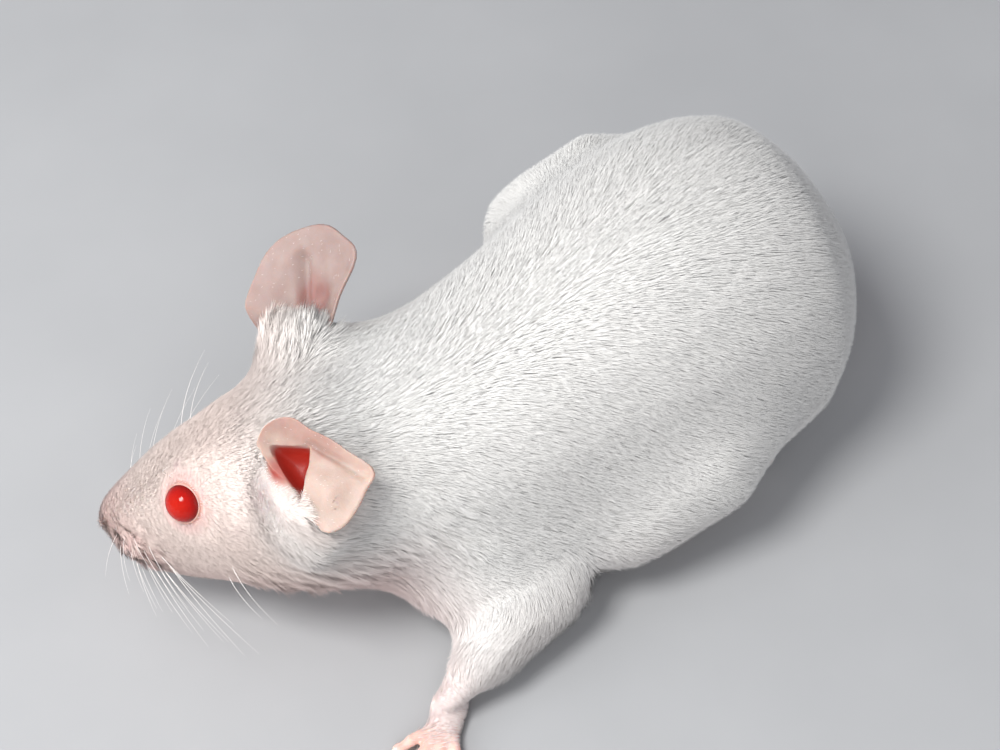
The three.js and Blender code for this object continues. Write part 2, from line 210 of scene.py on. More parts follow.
# Balls of flesh under the ears, in the head's frame, and at one wrist and both heels
EAR_BALLS = [
    ((22.4, -6.9, 4.5), 2.3), ((23.2, -8.4, 3.7), 2.6), ((24.0, -9.4, 2.6), 2.9),
    ((24.8, -9.4, 0.6), 3.0), ((22.7, -8.7, 1.4), 3.2), ((21.3, -7.2, 3.6), 2.3),
    ((21.6, -8.3, 0.9), 3.0), ((23.3, -9.0, -0.6), 3.2), ((19.7, 10.0, 7.4), 2.2),
    ((19.4, 9.3, 6.1), 2.5), ((22.2, 8.7, 7.7), 2.4), ((24.2, 7.5, 8.0), 2.4),
    ((24.8, 5.5, 6.7), 2.8), ((19.7, -6.2, 3.7), 2.2), ((20.5, -7.5, 1.5), 2.4),
]
JOINT_BALLS = [((-18.7, -18.2, 2.0), 1.6), ((19.3, -7.3, 3.3), 1.9), ((17.8, 15.1, 3.3), 1.9)]
fill = [(Vector(centre), EYE_BED) for centre in EYES.values()]
fill += [(Vector(from_head(np.array(place) * MM)), radius * MM) for place, radius in EAR_BALLS]
fill += [(Vector(place) * MM, radius * MM) for place, radius in JOINT_BALLS]
skin = remeshed("skin", BODY_NODES, SWELL, BODY_VOXEL, fill)
print("body skin faces", len(skin.data.polygons))


# %% [markdown]
# ## Working on the skin as arrays
# Sculpting by code is quickest on plain arrays: one of places, one of edges. Smoothing moves
# each point towards the mean of its neighbours, and the normals tell which way is out.

# %% Array helpers
def points_of(mesh):
    flat = np.empty(len(mesh.vertices) * 3, np.float32)
    mesh.vertices.foreach_get("co", flat)
    return flat.reshape(-1, 3).astype(float)


def set_points(mesh, points):
    mesh.vertices.foreach_set("co", np.ascontiguousarray(points, np.float32).ravel())
    mesh.update()


def normals_of(mesh):
    flat = np.empty(len(mesh.vertices) * 3, np.float32)
    mesh.vertex_normals.foreach_get("vector", flat)
    return flat.reshape(-1, 3).astype(float)


def edges_of(mesh):
    flat = np.empty(len(mesh.edges) * 2, np.int32)
    mesh.edges.foreach_get("vertices", flat)
    return flat.reshape(-1, 2)


def keep_above_floor(mesh):
    points = points_of(mesh)
    points[:, 2] = np.maximum(points[:, 2], 0.0)
    set_points(mesh, points)


def spread(values, edges, count):
    """The mean of each point's neighbours."""
    total = np.zeros_like(values)
    a, b = edges[:, 0], edges[:, 1]
    for axis in range(values.shape[1]):
        total[:, axis] += np.bincount(a, values[b, axis], count)
        total[:, axis] += np.bincount(b, values[a, axis], count)
    degree = np.bincount(a, minlength=count) + np.bincount(b, minlength=count)
    return total / np.maximum(degree, 1)[:, None]


def smoothed(points, edges, rounds, weight=1.0, keep_size=True):
    """Points drawn towards their neighbours and, to keep the size, pushed back as far."""
    weight = np.asarray(weight, float)
    weight = weight[:, None] if weight.ndim else weight
    for _ in range(rounds):
        points = points + 0.5 * weight * (spread(points, edges, len(points)) - points)
        if keep_size:
            points = points - 0.52 * weight * (spread(points, edges, len(points)) - points)
    return points


def ramp(value, low, high):
    """0 below low, 1 above high and smooth between."""
    t = np.clip((value - low) / (high - low), 0, 1)
    return t * t * (3 - 2 * t)


def bump_at(places, centre, radius, squash=(1, 1, 1)):
    """A round bump: 1 at centre, fading over radius, in millimetres."""
    away = (places - np.array(centre)) / np.array(squash)
    return np.exp(-((np.linalg.norm(away, axis=1) / radius) ** 2))


# %% Smoothing the joins
def creases_filled(mesh, points, edges, rounds, weight=1.0):
    """Push hollows out to where heavy smoothing would put them, and leave swells alone."""
    set_points(mesh, points)
    out = normals_of(mesh)
    away = np.sum((smoothed(points, edges, rounds, keep_size=False) - points) * out, axis=1)
    return points + out * (np.maximum(away, 0) * weight)[:, None]


WRIST = (-15.0, -20.2, 2.5)  # where the forearm is pressed in, to narrow towards the foot
WRIST_PRESS = 1.0 * MM
HAUNCH = (11.0, -9.5, 13.0)
EAR_BASES = [((22.0, -8.5, 3.0), 5.0), ((20.5, 9.0, 4.0), 4.5)]  # in the head's frame

mesh = skin.data
edges = edges_of(mesh)
points = smoothed(points_of(mesh), edges, 10)
set_points(mesh, points)
points = points - normals_of(mesh) * (WRIST_PRESS * bump_at(points / MM, WRIST, 1.5))[:, None]
behind_face = ramp(head_places(points)[:, 0] / MM, 13, 19)
deep_fill = bump_at(points / MM, HAUNCH, 8.0)
for place, radius in EAR_BASES:
    deep_fill = np.maximum(deep_fill, 0.7 * bump_at(head_places(points) / MM, place, radius))
points = creases_filled(mesh, points, edges, 500, deep_fill)
for rounds in (220, 90, 30):
    points = creases_filled(mesh, points, edges, rounds, 0.9 * behind_face)
points = smoothed(points, edges, 8, keep_size=False)
set_points(mesh, points)
print("smoothed", len(points), "points")

# %% [markdown]
# ## Room for the coat
# The solids reach out to the tips of the hair, so the skin lies inside them by the coat's
# depth: about a millimetre on the back, a third of that on the face, and almost nothing at
# the wrists and heels, where the fur ends.

# %% The coat's depth
foot_trees = []
for node in FEET_NODES:
    bm = swollen(node, 0)
    foot_trees.append(BVHTree.FromBMesh(bm))
    bm.free()


def distance_to(trees, places, limit):
    """How far each place is from the nearest of some surfaces."""
    found = np.full(len(places), limit)
    for i, place in enumerate(places):
        for tree in trees:
            hit = tree.find_nearest(Vector(place), limit)
            if hit[3] is not None and hit[3] < found[i]:
                found[i] = hit[3]
    return found


EAR_OPENING = np.array([24.3, -8.6, 6.5])  # in the head's frame


def coat_depth(places):
    """The coat's thickness at each place, in metres."""
    head = head_places(places) / MM
    depth = 0.3 + 0.62 * ramp(head[:, 0], 3.0, 26.0)
    by_ear = np.linalg.norm(head - EAR_OPENING, axis=1)
    depth = np.minimum(depth, 0.35 + 0.8 * ramp(by_ear, 2.5, 7.0))
    for centre in EYES.values():
        from_eye = np.linalg.norm(places - centre, axis=1) / MM
        depth = np.minimum(depth, 0.12 + 1.2 * ramp(from_eye, 2.0, 10.0))
    near_foot = distance_to(foot_trees, places, 9 * MM) / MM
    depth = np.minimum(depth, 0.2 + 0.9 * ramp(near_foot, 0.5, 8.0))
    return depth * MM


depth = coat_depth(points)
for _ in range(3):
    depth = 0.5 * depth + 0.5 * spread(depth[:, None], edges, len(depth))[:, 0]
points = points - normals_of(mesh) * (depth + SWELL)[:, None]
points = smoothed(points, edges, 4)
for rounds in (120, 40):
    points = creases_filled(mesh, points, edges, rounds, 0.9 * behind_face)
set_points(mesh, points)
print("coat depth mm", round(depth.min() / MM, 2), "to", round(depth.max() / MM, 2))

# %% [markdown]
# ## A face needs a finer mesh
# Lids and nostrils are a few tenths of a millimetre across, less than one voxel. The edges
# round the eyes and over the muzzle are cut in half, twice at the lids, and the rest of the
# body stays light.


# %% Finer skin round the eyes and muzzle
def halve_edges(mesh, chosen):
    """Cut every edge whose two ends are both chosen in half."""
    def cut(bm):
        bm.verts.ensure_lookup_table()
        edges = [e for e in bm.edges if chosen[e.verts[0].index] and chosen[e.verts[1].index]]
        bmesh.ops.subdivide_edges(bm, edges=edges, cuts=1, use_grid_fill=True)

    reworked(mesh, cut)


def eye_distance(places):
    return np.min([np.linalg.norm(places - centre, axis=1) for centre in EYES.values()], axis=0) / MM


for muzzle_end, eye_reach in ((9.0, 4.2), (3.2, 3.4)):
    points = points_of(mesh)
    halve_edges(mesh, (head_places(points)[:, 0] / MM < muzzle_end) | (eye_distance(points) < eye_reach))
reworked(mesh, triangulate)
edges = edges_of(mesh)
points = points_of(mesh)
head = head_places(points) / MM
face_weight = np.maximum(1 - ramp(head[:, 0], 6, 10), 1 - ramp(eye_distance(points), 3.5, 4.6))
points = smoothed(points, edges, 8, face_weight, keep_size=False)
set_points(mesh, points)
print("face points", int((face_weight > 0.5).sum()), "of", len(points))

# %% [markdown]
# ## Lids, nose and mouth
# A mouse's eye is a bead that stands out of a thin, tight lid. We press the skin under the
# eyeball inside the opening and raise a rounded rim at its edge. The nose has a small bare
# pad with two commas for nostrils, a groove runs down from it to the mouth, and the whisker
# pads swell on both sides.

# %% Lids
LID_OPENING = 69  # degrees from the eye's axis
LID_RISE = 0.1 * MM


def eye_axis(side):
    """The way an eye looks."""
    axis = HEAD_AXES @ np.array([-0.2, -0.85 if side == "left" else 0.85, 0.5])
    return axis / np.linalg.norm(axis)


for side, centre in EYES.items():
    axis = eye_axis(side)
    away = points - centre
    reach = np.linalg.norm(away, axis=1)
    toward = away / np.maximum(reach, 1e-9)[:, None]
    angle = np.degrees(np.arccos(np.clip(toward @ axis, -1, 1)))
    inside = EYE_RADIUS - 0.35 * MM
    rim = EYE_RADIUS + LID_RISE
    lid = inside + (rim - inside) * ramp(angle, LID_OPENING - 5, LID_OPENING + 3)
    lid = lid - 0.06 * MM * ramp(angle, LID_OPENING + 4, LID_OPENING + 20)
    hold = 1 - ramp(angle, LID_OPENING + 4, LID_OPENING + 34)
    hold = hold * (reach < 4.5 * MM)
    aim = np.where(angle < LID_OPENING + 2, lid, np.maximum(lid, np.minimum(reach, rim)))
    points = centre + toward * (reach + (aim - reach) * hold)[:, None]
set_points(mesh, points)
print("lids open to degrees", LID_OPENING)


# %% Nose, mouth and whisker pads
def both_sides(head):
    """Places in the head's frame, with its left half folded onto the right."""
    return np.stack([head[:, 0], np.abs(head[:, 1]), head[:, 2]], 1)


head = head_places(points) / MM
out = normals_of(mesh)
across = np.abs(head[:, 1])
mirrored = both_sides(head)
lift = 0.65 * bump_at(mirrored, (4.6, 3.9, -1.4), 2.1, (1.1, 0.9, 1.0))  # whisker pads
lift += 0.35 * bump_at(mirrored, (2.5, 2.3, -2.0), 1.0)
lift -= 0.35 * bump_at(mirrored, (1.3, 1.5, -0.9), 0.55, (0.8, 0.9, 1.6))  # beside the nose
lumps = np.sin(head[:, 2] * 4.6 + head[:, 0] * 1.5) + np.sin(head[:, 0] * 4.0 - head[:, 2] * 1.2)
lift += 0.2 * lumps * bump_at(mirrored, (4.8, 4.0, -1.1), 2.0)
lift -= 0.45 * bump_at(mirrored, (0.0, 0.0, 0.2), 1.6)
lift += 0.30 * bump_at(mirrored, (0.35, 0.0, 0.25), 0.9, (1, 1.4, 0.9))  # nose pad
lift += 0.24 * bump_at(mirrored, (0.6, 1.0, 0.3), 0.45)  # wings of the nostrils
lift -= 0.62 * bump_at(mirrored, (0.55, 0.85, -0.15), 0.32, (1.2, 1.0, 0.62))  # nostrils
groove = np.exp(-((across / 0.2) ** 2)) * ramp(-head[:, 2], 0.2, 0.6) * (1 - ramp(-head[:, 2], 2.2, 2.8))
lift -= 0.4 * groove * (1 - ramp(head[:, 0], 2.0, 3.2))  # groove under the nose
lip_line = head[:, 2] + 2.75 - 0.22 * across + 0.06 * head[:, 0]
mouth = np.exp(-((lip_line / 0.26) ** 2)) * ramp(head[:, 0], 0.6, 1.4) * (1 - ramp(head[:, 0], 5.0, 6.6))
lift -= 0.6 * mouth
lift += 0.2 * bump_at(mirrored, (3.4, 0.0, -4.2), 1.5)  # chin
lift += 0.16 * bump_at(mirrored, (8.2, 4.6, -1.2), 2.4)  # cheek
points = points + out * (lift * MM)[:, None]
face_weight = 1 - ramp(head[:, 0], 4, 8)
points = smoothed(points, edges, 1, 0.5 * face_weight, keep_size=False)
set_points(mesh, points)
print("face raised mm", round(float(lift.max()), 2), "pressed mm", round(float(lift.min()), 2))

# %% [markdown]
# ## Ears
# An ear is a thin cup of skin. It is drawn in its own frame, with x towards the tip, y across
# and z out of the cup, on a fan of rings: a face, a rounded rim and a back. Swellings and
# creases are added to the face by formula. The dark hollow is cut later with a funnel, as
# only a cut leaves the sharp overhanging lip that a real ear has.

# %% Sizes of the ears
EAR_LENGTH, EAR_FRONT, EAR_WIDTH, EAR_BEND = 8.2, 3.25, 4.65, 0.018  # millimetres from the root
# root, tip and open: the ear's place and two directions, in the head's frame
# outline: where the rim stands out from an oval, as degrees, share and spread in degrees
# depth and sink: how deep the cup is, and how far its base dips into the head
# swells and creases: forms of the face, by place and size; bulb: the bulge of the back
# hollow and under: outline of the opening, and how far it runs on under the lip
# front: the line where the ear meets the head; and last, how strongly the deep cup is painted blood red and
# shade
EARS = {
    "left": {
        "root": (23.8, -8.2, 7.6), "tip": (0.5, -0.86, -0.12), "open": (-0.3, -0.35, 0.85),
        "outline": [(84, -0.19, 32), (28, 0.17, 9), (0, -0.09, 16), (169, -0.15, 15)],
        "depth": 1.7, "sink": 0.0,
        "swells": [((4.7, 0.0), (2.0, 2.4), 1.0), ((2.6, 0.6), (0.9, 1.5), 0.5)],
        "creases": [((1.2, 2.75), (6.6, 2.9), 0.4, 0.3)],
        "hollow": [(-1.9, 0.8), (-1.1, 1.4), (-0.5, 1.72), (0.2, 2.1), (1.0, 2.4), (1.45, 1.6),
                   (1.95, 0.5), (2.45, -0.6), (2.75, -1.7), (1.9, -1.3), (0.4, -0.8), (-1.0, -0.1)],
        "under": (0.5, 0.1), "bulb": 1.6,
        "front": [(-4, 0.9), (-2.9, 0.2), (-2.2, -0.1), (-0.9, -0.9), (0.4, -1.1), (1.3, -1.2), (2.2, -1.3),
                  (3.0, -1.7), (3.8, -2.4), (4.9, -3.4), (6, -4.2), (9, -6)],
        "red_and_shade": 1.0,
    },
    "right": {
        "root": (22.0, 9.8, 9.4), "tip": (0.62, 0.42, 0.66), "open": (-0.66, -0.2, 0.72),
        "outline": [(42, 0.12, 22), (-28, 0.22, 14), (0, 0.04, 14), (144, 0.25, 22)],
        "depth": 1.6, "sink": 0.8,
        "swells": [((5.6, -2.2), (1.8, 1.5), 0.6), ((3.4, 3.0), (3.2, 1.3), 0.5),
                   ((2.4, -2.0), (1.6, 1.2), -0.9)],
        "creases": [((5.0, 1.2), (0.6, -0.6), 0.75, 0.6)],
        "hollow": [],
        "under": (0.0, 0.0), "bulb": 0.6,
        "front": [(-9, -9), (9, -9)],
        "red_and_shade": 0.3,
    },
}


# %% An ear's own frame and face
def rim_share(ear, x, y):
    """How far the rim stands out from a plain oval at the angle of x and y."""
    degrees = np.degrees(np.arctan2(y, x))
    share = np.ones_like(degrees)
    for at, by, spread_out in ear["outline"]:
        share += by * np.exp(-(((degrees - at + 180) % 360 - 180) / spread_out) ** 2)
    return share


def ear_axes(ear):
    """The ear's own directions as columns: along, across and out of the cup."""
    along = np.array(ear["tip"], float)
    along /= np.linalg.norm(along)
    out = np.array(ear["open"], float)
    out -= along * (out @ along)
    out /= np.linalg.norm(out)
    return np.stack([along, np.cross(out, along), out], 1)


def ear_place(ear, local):
    return from_head(np.array(ear["root"]) * MM) + (local * MM) @ ear_axes(ear).T


def in_ear(ear, places):
    """Places in an ear's frame, in millimetres."""
    return (places - from_head(np.array(ear["root"]) * MM)) / MM @ ear_axes(ear)


def line_distance(places, start, end):
    start, run = np.array(start), np.array(end, float) - np.array(start)
    share = np.clip((places - start) @ run / (run @ run), 0, 1)
    return np.linalg.norm(places - start - share[:, None] * run, axis=1)


def sunk(ear, x):
    """How far the base of the ear dips into the head."""
    return ear["sink"] * np.maximum(-0.8 - x, 0) ** 1.5


def ear_face(ear, x, y, share):
    z = -ear["depth"] * (1 - share**1.6) - EAR_BEND * x * x - 0.08 - sunk(ear, x)
    fade = 1 - share**4
    for (cx, cy), (rx, ry), height in ear["swells"]:
        z += fade * height * np.exp(-(((x - cx) / rx) ** 2) - ((y - cy) / ry) ** 2)
    for start, end, deep, wide in ear["creases"]:
        z -= deep * np.exp(-((line_distance(np.stack([x, y], 1), start, end) / wide) ** 2))
    return z


# %% Solids from rings
def ring_faces(rings, around):
    """Quads between rings of points, with both ends closed by fans."""
    faces = []
    for r in range(rings - 1):
        for a in range(around):
            b = (a + 1) % around
            faces.append((r * around + a, r * around + b, (r + 1) * around + b, (r + 1) * around + a))
    first, last = rings * around, rings * around + 1
    for a in range(around):
        b = (a + 1) % around
        faces.append((first, b, a))
        faces.append((last, (rings - 1) * around + a, (rings - 1) * around + b))
    return faces


def solid_of_rings(name, rings, start, end):
    """A closed solid from rings of points and its two end points."""
    bm = bmesh.new()
    verts = [bm.verts.new(p) for ring in rings for p in ring]
    verts += [bm.verts.new(start), bm.verts.new(end)]
    for face in ring_faces(len(rings), len(rings[0])):
        bm.faces.new([verts[i] for i in face])
    face_outwards(bm)
    if bm.calc_volume(signed=True) < 0:
        bmesh.ops.reverse_faces(bm, faces=bm.faces)
    return object_from(name, bm)


# %% Two thin ears
EAR_SIDES = 80


def make_ear(name, ear):
    angle = np.linspace(0, 2 * np.pi, EAR_SIDES + 1)[:-1]
    oval = np.where(np.cos(angle) > 0, EAR_LENGTH, EAR_FRONT)
    way = np.stack([oval * np.cos(angle), EAR_WIDTH * np.sin(angle)], 1)
    way = way * rim_share(ear, *way.T)[:, None]
    edge = np.array(ear["front"], float)
    steps = np.linspace(0, 1, 201)
    reach_x, reach_y = np.outer(way[:, 0], steps), np.outer(way[:, 1], steps)
    outside = reach_y < np.interp(reach_x, edge[:, 0], edge[:, 1])
    cut = np.where(outside.any(axis=1), steps[outside.argmax(axis=1)], 1.0)
    for _ in range(3):
        cut = np.minimum(cut, (np.roll(cut, 1) + 2 * cut + np.roll(cut, -1)) / 4 + 0.02)
    grown_in = 1 - ramp(cut, 0.75, 1.0)  # where the ear ends early it is grown into the head

    def ring(share, back, drop):
        x, y = share * cut * way[:, 0], share * cut * way[:, 1]
        top = ear_face(ear, x, y, np.minimum(share * cut, 1))
        top = top - 2.6 * grown_in * ramp(np.full(EAR_SIDES, share), 0.82, 1.0)
        if not back:
            return ear_place(ear, np.stack([x, y, top - drop], 1))
        under = -2.8 * (1 - share**1.6) - EAR_BEND * x * x - 0.5 - sunk(ear, x)
        under -= ear["bulb"] * np.exp(-(((x - 0.9) / 3.0) ** 2) - ((y - 0.6) / 2.6) ** 2)
        under = np.maximum(under, top - 0.4 - 2.2 * (1 - share))
        return ear_place(ear, np.stack([x, y, np.minimum(under, top - 0.3) + drop], 1))

    shares = 1 - (1 - np.linspace(0.03, 0.985, 30)) ** 1.15
    rings = [ring(s, False, 0.0) for s in shares]
    rings += [ring(1.0, False, 0.07), ring(1.008, False, 0.17), ring(1.0, True, 0.07)]
    rings += [ring(s, True, 0.0) for s in shares[::-1]]
    return solid_of_rings(name, rings, rings[0].mean(0), rings[-1].mean(0))


# %% The funnel that opens an ear
# Rings of the funnel: height in the ear's frame, growth, and share of the way under the lip
FUNNEL = [(1.6, 1.0, 0), (-0.5, 1.0, 0), (-0.9, 1.02, 0.2), (-1.4, 1.04, 0.6), (-1.9, 0.98, 0.9),
          (-2.4, 0.8, 1.0), (-2.9, 0.5, 1.0), (-3.1, 0.2, 1.0)]


def make_hollow(name, ear):
    """The funnel that is cut out of the head and ear."""
    outline = np.array(ear["hollow"])
    count = len(outline)
    t = np.arange(0, count, 0.25)
    i = t.astype(int)
    f = (t - i)[:, None]
    p0, p1, p2, p3 = (outline[(i + k) % count] for k in (-1, 0, 1, 2))
    smooth = 0.5 * (2 * p1 + (p2 - p0) * f + (2 * p0 - 5 * p1 + 4 * p2 - p3) * f**2
                    + (3 * p1 - p0 - 3 * p2 + p3) * f**3)
    centre = smooth.mean(0)
    rings = []
    for z, grow, shift in FUNNEL:
        flat = centre + (smooth - centre) * grow + np.array(ear["under"]) * shift
        rings.append(ear_place(ear, np.column_stack([flat, np.full(len(flat), z)])))
    return solid_of_rings(name, rings, rings[0].mean(0), rings[-1].mean(0))


ears = {side: make_ear("ear_" + side + "_skin", ear) for side, ear in EARS.items()}
hollows = {side: make_hollow("hollow_" + side, ear) for side, ear in EARS.items() if ear["hollow"]}
print("ear faces", {s: len(e.data.polygons) for s, e in ears.items()})

# %% [markdown]
# ## Feet
# A mouse stands on narrow feet with thin, jointed toes: four in front, five behind. Balls at
# the joints and tapering rods between them are joined by a fine voxel remesh, which rounds
# every web and knuckle by itself. The claws are separate, later.

# %% Sizes of the feet
# Limbs and tail are given in a frame of their own, and SHIFT takes them to the shared one
SHIFT = np.array([-2.96165, 3.30541, 0.0])
FOOT_VOXEL = 0.2
FEET = {
    "forefoot_left": ("fore", (-14.4, -22.0), 222, 1),
    "forefoot_right": ("fore", (-14.4, 9.0), 180, -1),
    "hindfoot_left": ("hind", (23.0, -10.6), 182, 1),
    "hindfoot_right": ("hind", (21.5, 12.0), 177, -1),
}
SOLES = {
    "fore": [(-0.6, 1.3, 1.45), (1.6, 0.95, 1.6), (3.2, 0.8, 1.65), (4.2, 0.68, 1.2)],
    "hind": [(-0.8, 1.4, 1.4), (3.5, 1.1, 1.5), (8.0, 0.95, 1.8), (11.4, 0.85, 2.0), (12.8, 0.72, 1.5)],
}
TOES = {
    "fore": [(3.2, -1.35, -36, 2.6), (4.2, -0.55, -12, 3.0), (4.2, 0.6, 12, 3.0), (3.1, 1.35, 34, 2.5)],
    "hind": [(9.4, -1.9, -26, 2.9), (12.2, -1.25, -9, 3.8), (12.8, 0, 0, 4.0), (12.2, 1.25, 9, 3.8),
             (9.4, 1.9, 26, 2.9)],
}
PADS = {
    "fore": [(0.4, 0.0, 1.0), (2.6, -0.8, 0.7), (2.8, 0.8, 0.7)],
    "hind": [(9.2, -1.1, 0.75), (9.2, 1.1, 0.75), (11.6, -0.7, 0.7), (11.6, 0.8, 0.7), (5.0, 0.5, 0.8)],
}
# Joints of a toe: share of its length, height and radius
TOE_STEPS = [(-0.12, 0.95, 0.66), (0.3, 0.98, 0.56), (0.5, 0.92, 0.6), (0.78, 0.68, 0.5), (1.0, 0.62, 0.6)]


def foot_matrix(name):
    kind, (x, y), heading, _ = FEET[name]
    turn = Matrix.Rotation(math.radians(heading), 4, "Z")
    return Matrix.Translation((x + SHIFT[0], y + SHIFT[1], 0)) @ turn


def toe_joints(kind):
    """Each toe's joints as (x, y, z, radius), from the sole to the tip."""
    for x, y, angle, length in TOES[kind]:
        run = np.array([math.cos(math.radians(angle)), math.sin(math.radians(angle))])
        yield [(x + run[0] * length * s, y + run[1] * length * s, z, r) for s, z, r in TOE_STEPS]


# %% Four feet
def make_foot(name):
    kind = FEET[name][0]
    bm = bmesh.new()

    def ball(x, y, z, rx, ry, rz):
        fit = Matrix.Translation((x, y, z)) @ Matrix.Diagonal((rx, ry, rz, 1))
        bmesh.ops.create_icosphere(bm, subdivisions=3, radius=1, matrix=fit)

    sole = np.array(SOLES[kind])
    along = np.linspace(sole[0, 0], sole[-1, 0], 14 if kind == "fore" else 26)
    for x in along:
        z, half = np.interp(x, sole[:, 0], sole[:, 1]), np.interp(x, sole[:, 0], sole[:, 2])
        ball(x, 0, z, 1.15, half, z * 0.86)
    for joints in toe_joints(kind):
        for (x0, y0, z0, r0), (x1, y1, z1, r1) in zip(joints, joints[1:]):
            for s in np.linspace(0, 1, 6):
                r = (r0 + (r1 - r0) * s) * (1 - 0.1 * math.sin(math.pi * s))
                ball(x0 + (x1 - x0) * s, y0 + (y1 - y0) * s, z0 + (z1 - z0) * s, r, r, r * 0.95)
    for x, y, r in PADS[kind]:
        ball(x, y, r * 0.62, r, r, r * 0.75)
    made = object_from(name + "_skin", bm)
    remesh = made.modifiers.new("even", "REMESH")
    remesh.mode = "VOXEL"
    remesh.voxel_size = FOOT_VOXEL
    applied(made)
    mesh = made.data
    places = smoothed(points_of(mesh), edges_of(mesh), 3, keep_size=False)
    places[:, 2] = np.maximum(places[:, 2], 0.0)
    matrix = np.array(foot_matrix(name))
    places = (places @ matrix[:3, :3].T + matrix[:3, 3]) * MM
    set_points(mesh, places)
    return made


feet = {name: make_foot(name) for name in FEET}
print("foot faces", {n: len(f.data.polygons) for n, f in feet.items()})

# %% [markdown]
# ## Tail
# The tail is a long thin cone that leaves the rump, drops to the floor and lies round the
# body. A loft along a smooth path gives it one clean wall. Its rings of scales come later.

# %% A tapering tail
TAIL = [(31, 0, 10.5, 3.0), (35.4, 0.8, 8.2, 2.5), (39.2, 4, 4.4, 2.0), (39.8, 10, 1.75, 1.75),
        (36, 16, 1.5, 1.55), (29, 19.8, 1.35, 1.4), (20, 21, 1.2, 1.26), (10, 20.6, 1.05, 1.1),
        (1, 19, 0.9, 0.95), (-6, 16.6, 0.72, 0.78), (-11, 15, 0.55, 0.58)]


def smooth_path(stations, steps):
    """A Catmull-Rom path through stations of place and radius."""
    given = np.array(stations, float)
    padded = np.vstack([2 * given[0] - given[1], given, 2 * given[-1] - given[-2]])
    path = []
    for i in range(len(given) - 1):
        p0, p1, p2, p3 = padded[i:i + 4]
        for f in np.linspace(0, 1, steps, endpoint=False):
            path.append(0.5 * (2 * p1 + (p2 - p0) * f + (2 * p0 - 5 * p1 + 4 * p2 - p3) * f**2
                               + (3 * p1 - p0 - 3 * p2 + p3) * f**3))
    path.append(given[-1])
    return np.array(path)


tail_path = smooth_path(TAIL, 24)
tail_path[:, :3] += SHIFT
tail_path *= MM


def tube_rings(path, around):
    places, radii = path[:, :3], path[:, 3]
    run = np.gradient(places, axis=0)
    run /= np.linalg.norm(run, axis=1)[:, None]
    side = np.cross(run, [0, 0, 1.0])
    side /= np.linalg.norm(side, axis=1)[:, None]
    up = np.cross(side, run)
    turn = np.linspace(0, 2 * np.pi, around + 1)[:-1]
    return [c + r * (np.outer(np.cos(turn), s) + np.outer(np.sin(turn), u))
            for c, r, s, u in zip(places, radii, side, up)]


tail_rings = tube_rings(tail_path, 18)
tip = tail_path[-1, :3] + (tail_path[-1, :3] - tail_path[-2, :3]) * 0.9
tail_skin = solid_of_rings("tail_skin", tail_rings, tail_path[0, :3], tip)
keep_above_floor(tail_skin.data)
tail_steps = np.linalg.norm(np.diff(tail_path[:, :3], axis=0), axis=1)
print("tail length mm", round(float(tail_steps.sum() / MM), 1))

# %% [markdown]
# ## One skin
# The parts are joined by exact boolean unions, so each keeps its own fine mesh and only the
# joint between them changes. A little smoothing close to the joints then melts them together,
# and the funnels open the ears.

# %% Union of body, feet, tail and ears
details = [*feet.values(), tail_skin, *ears.values()]
part_trees = {part.name: tree_of(part.data) for part in details}
body_tree = tree_of(skin.data)


def combine(target, tool, operation):
    step = target.modifiers.new("join", "BOOLEAN")
    step.operation = operation
    step.solver = "MANIFOLD"
    step.object = tool
    applied(target)
    bpy.data.objects.remove(tool)


for part in details:
    combine(skin, part, "UNION")
mesh = skin.data
reworked(mesh, triangulate)
print("joined", len(details), "details to the body")


# %% Melting the joints together
JOINT_REACH = 2.4 * MM


def distances(tree, places, limit):
    found = np.full(len(places), limit)
    for i, place in enumerate(places):
        hit = tree.find_nearest(Vector(place), limit)
        if hit[3] is not None:
            found[i] = hit[3]
    return found


points, edges = points_of(mesh), edges_of(mesh)
to_body = distances(body_tree, points, JOINT_REACH)
to_part = {name: distances(tree, points, JOINT_REACH) for name, tree in part_trees.items()}
to_foot = np.min([to_part[name + "_skin"] for name in FEET], axis=0)
ankle = 1 - ramp(np.maximum(to_body, to_foot) / MM, 0.7, 2.0)
for rounds in (60, 20):
    points = creases_filled(mesh, points, edges, rounds, 0.8 * ankle)
points = smoothed(points, edges, 45, ankle, keep_size=False)
to_any_part = np.min(list(to_part.values()), axis=0)
joint_weight = 1 - ramp(np.maximum(to_body, to_any_part) / MM, 0.25, 0.9)
points = smoothed(points, edges, 12, joint_weight, keep_size=False)
set_points(mesh, points)
for funnel in hollows.values():
    combine(skin, funnel, "DIFFERENCE")


def without_slivers(bm):
    bmesh.ops.dissolve_degenerate(bm, edges=bm.edges, dist=0.004 * MM)
    triangulate(bm)
    bmesh.ops.holes_fill(bm, edges=[e for e in bm.edges if e.is_boundary], sides=0)
    triangulate(bm)
    return sum(not e.is_manifold for e in bm.edges)


mesh = skin.data
open_edges = reworked(mesh, triangulate, without_slivers)
print("skin triangles", len(mesh.polygons), "open edges", open_edges)

# %% [markdown]
# ## Which part is which
# Colour and hair both depend on the part of the body, so each point of the skin is given its
# nearest part and how deep it lies in an ear, which paints blood red and shade there. The same
# function of place gives the tone to skin and hair, so that they always agree.


# %% Masks over the skin
MASK_REACH = 1.2 * MM


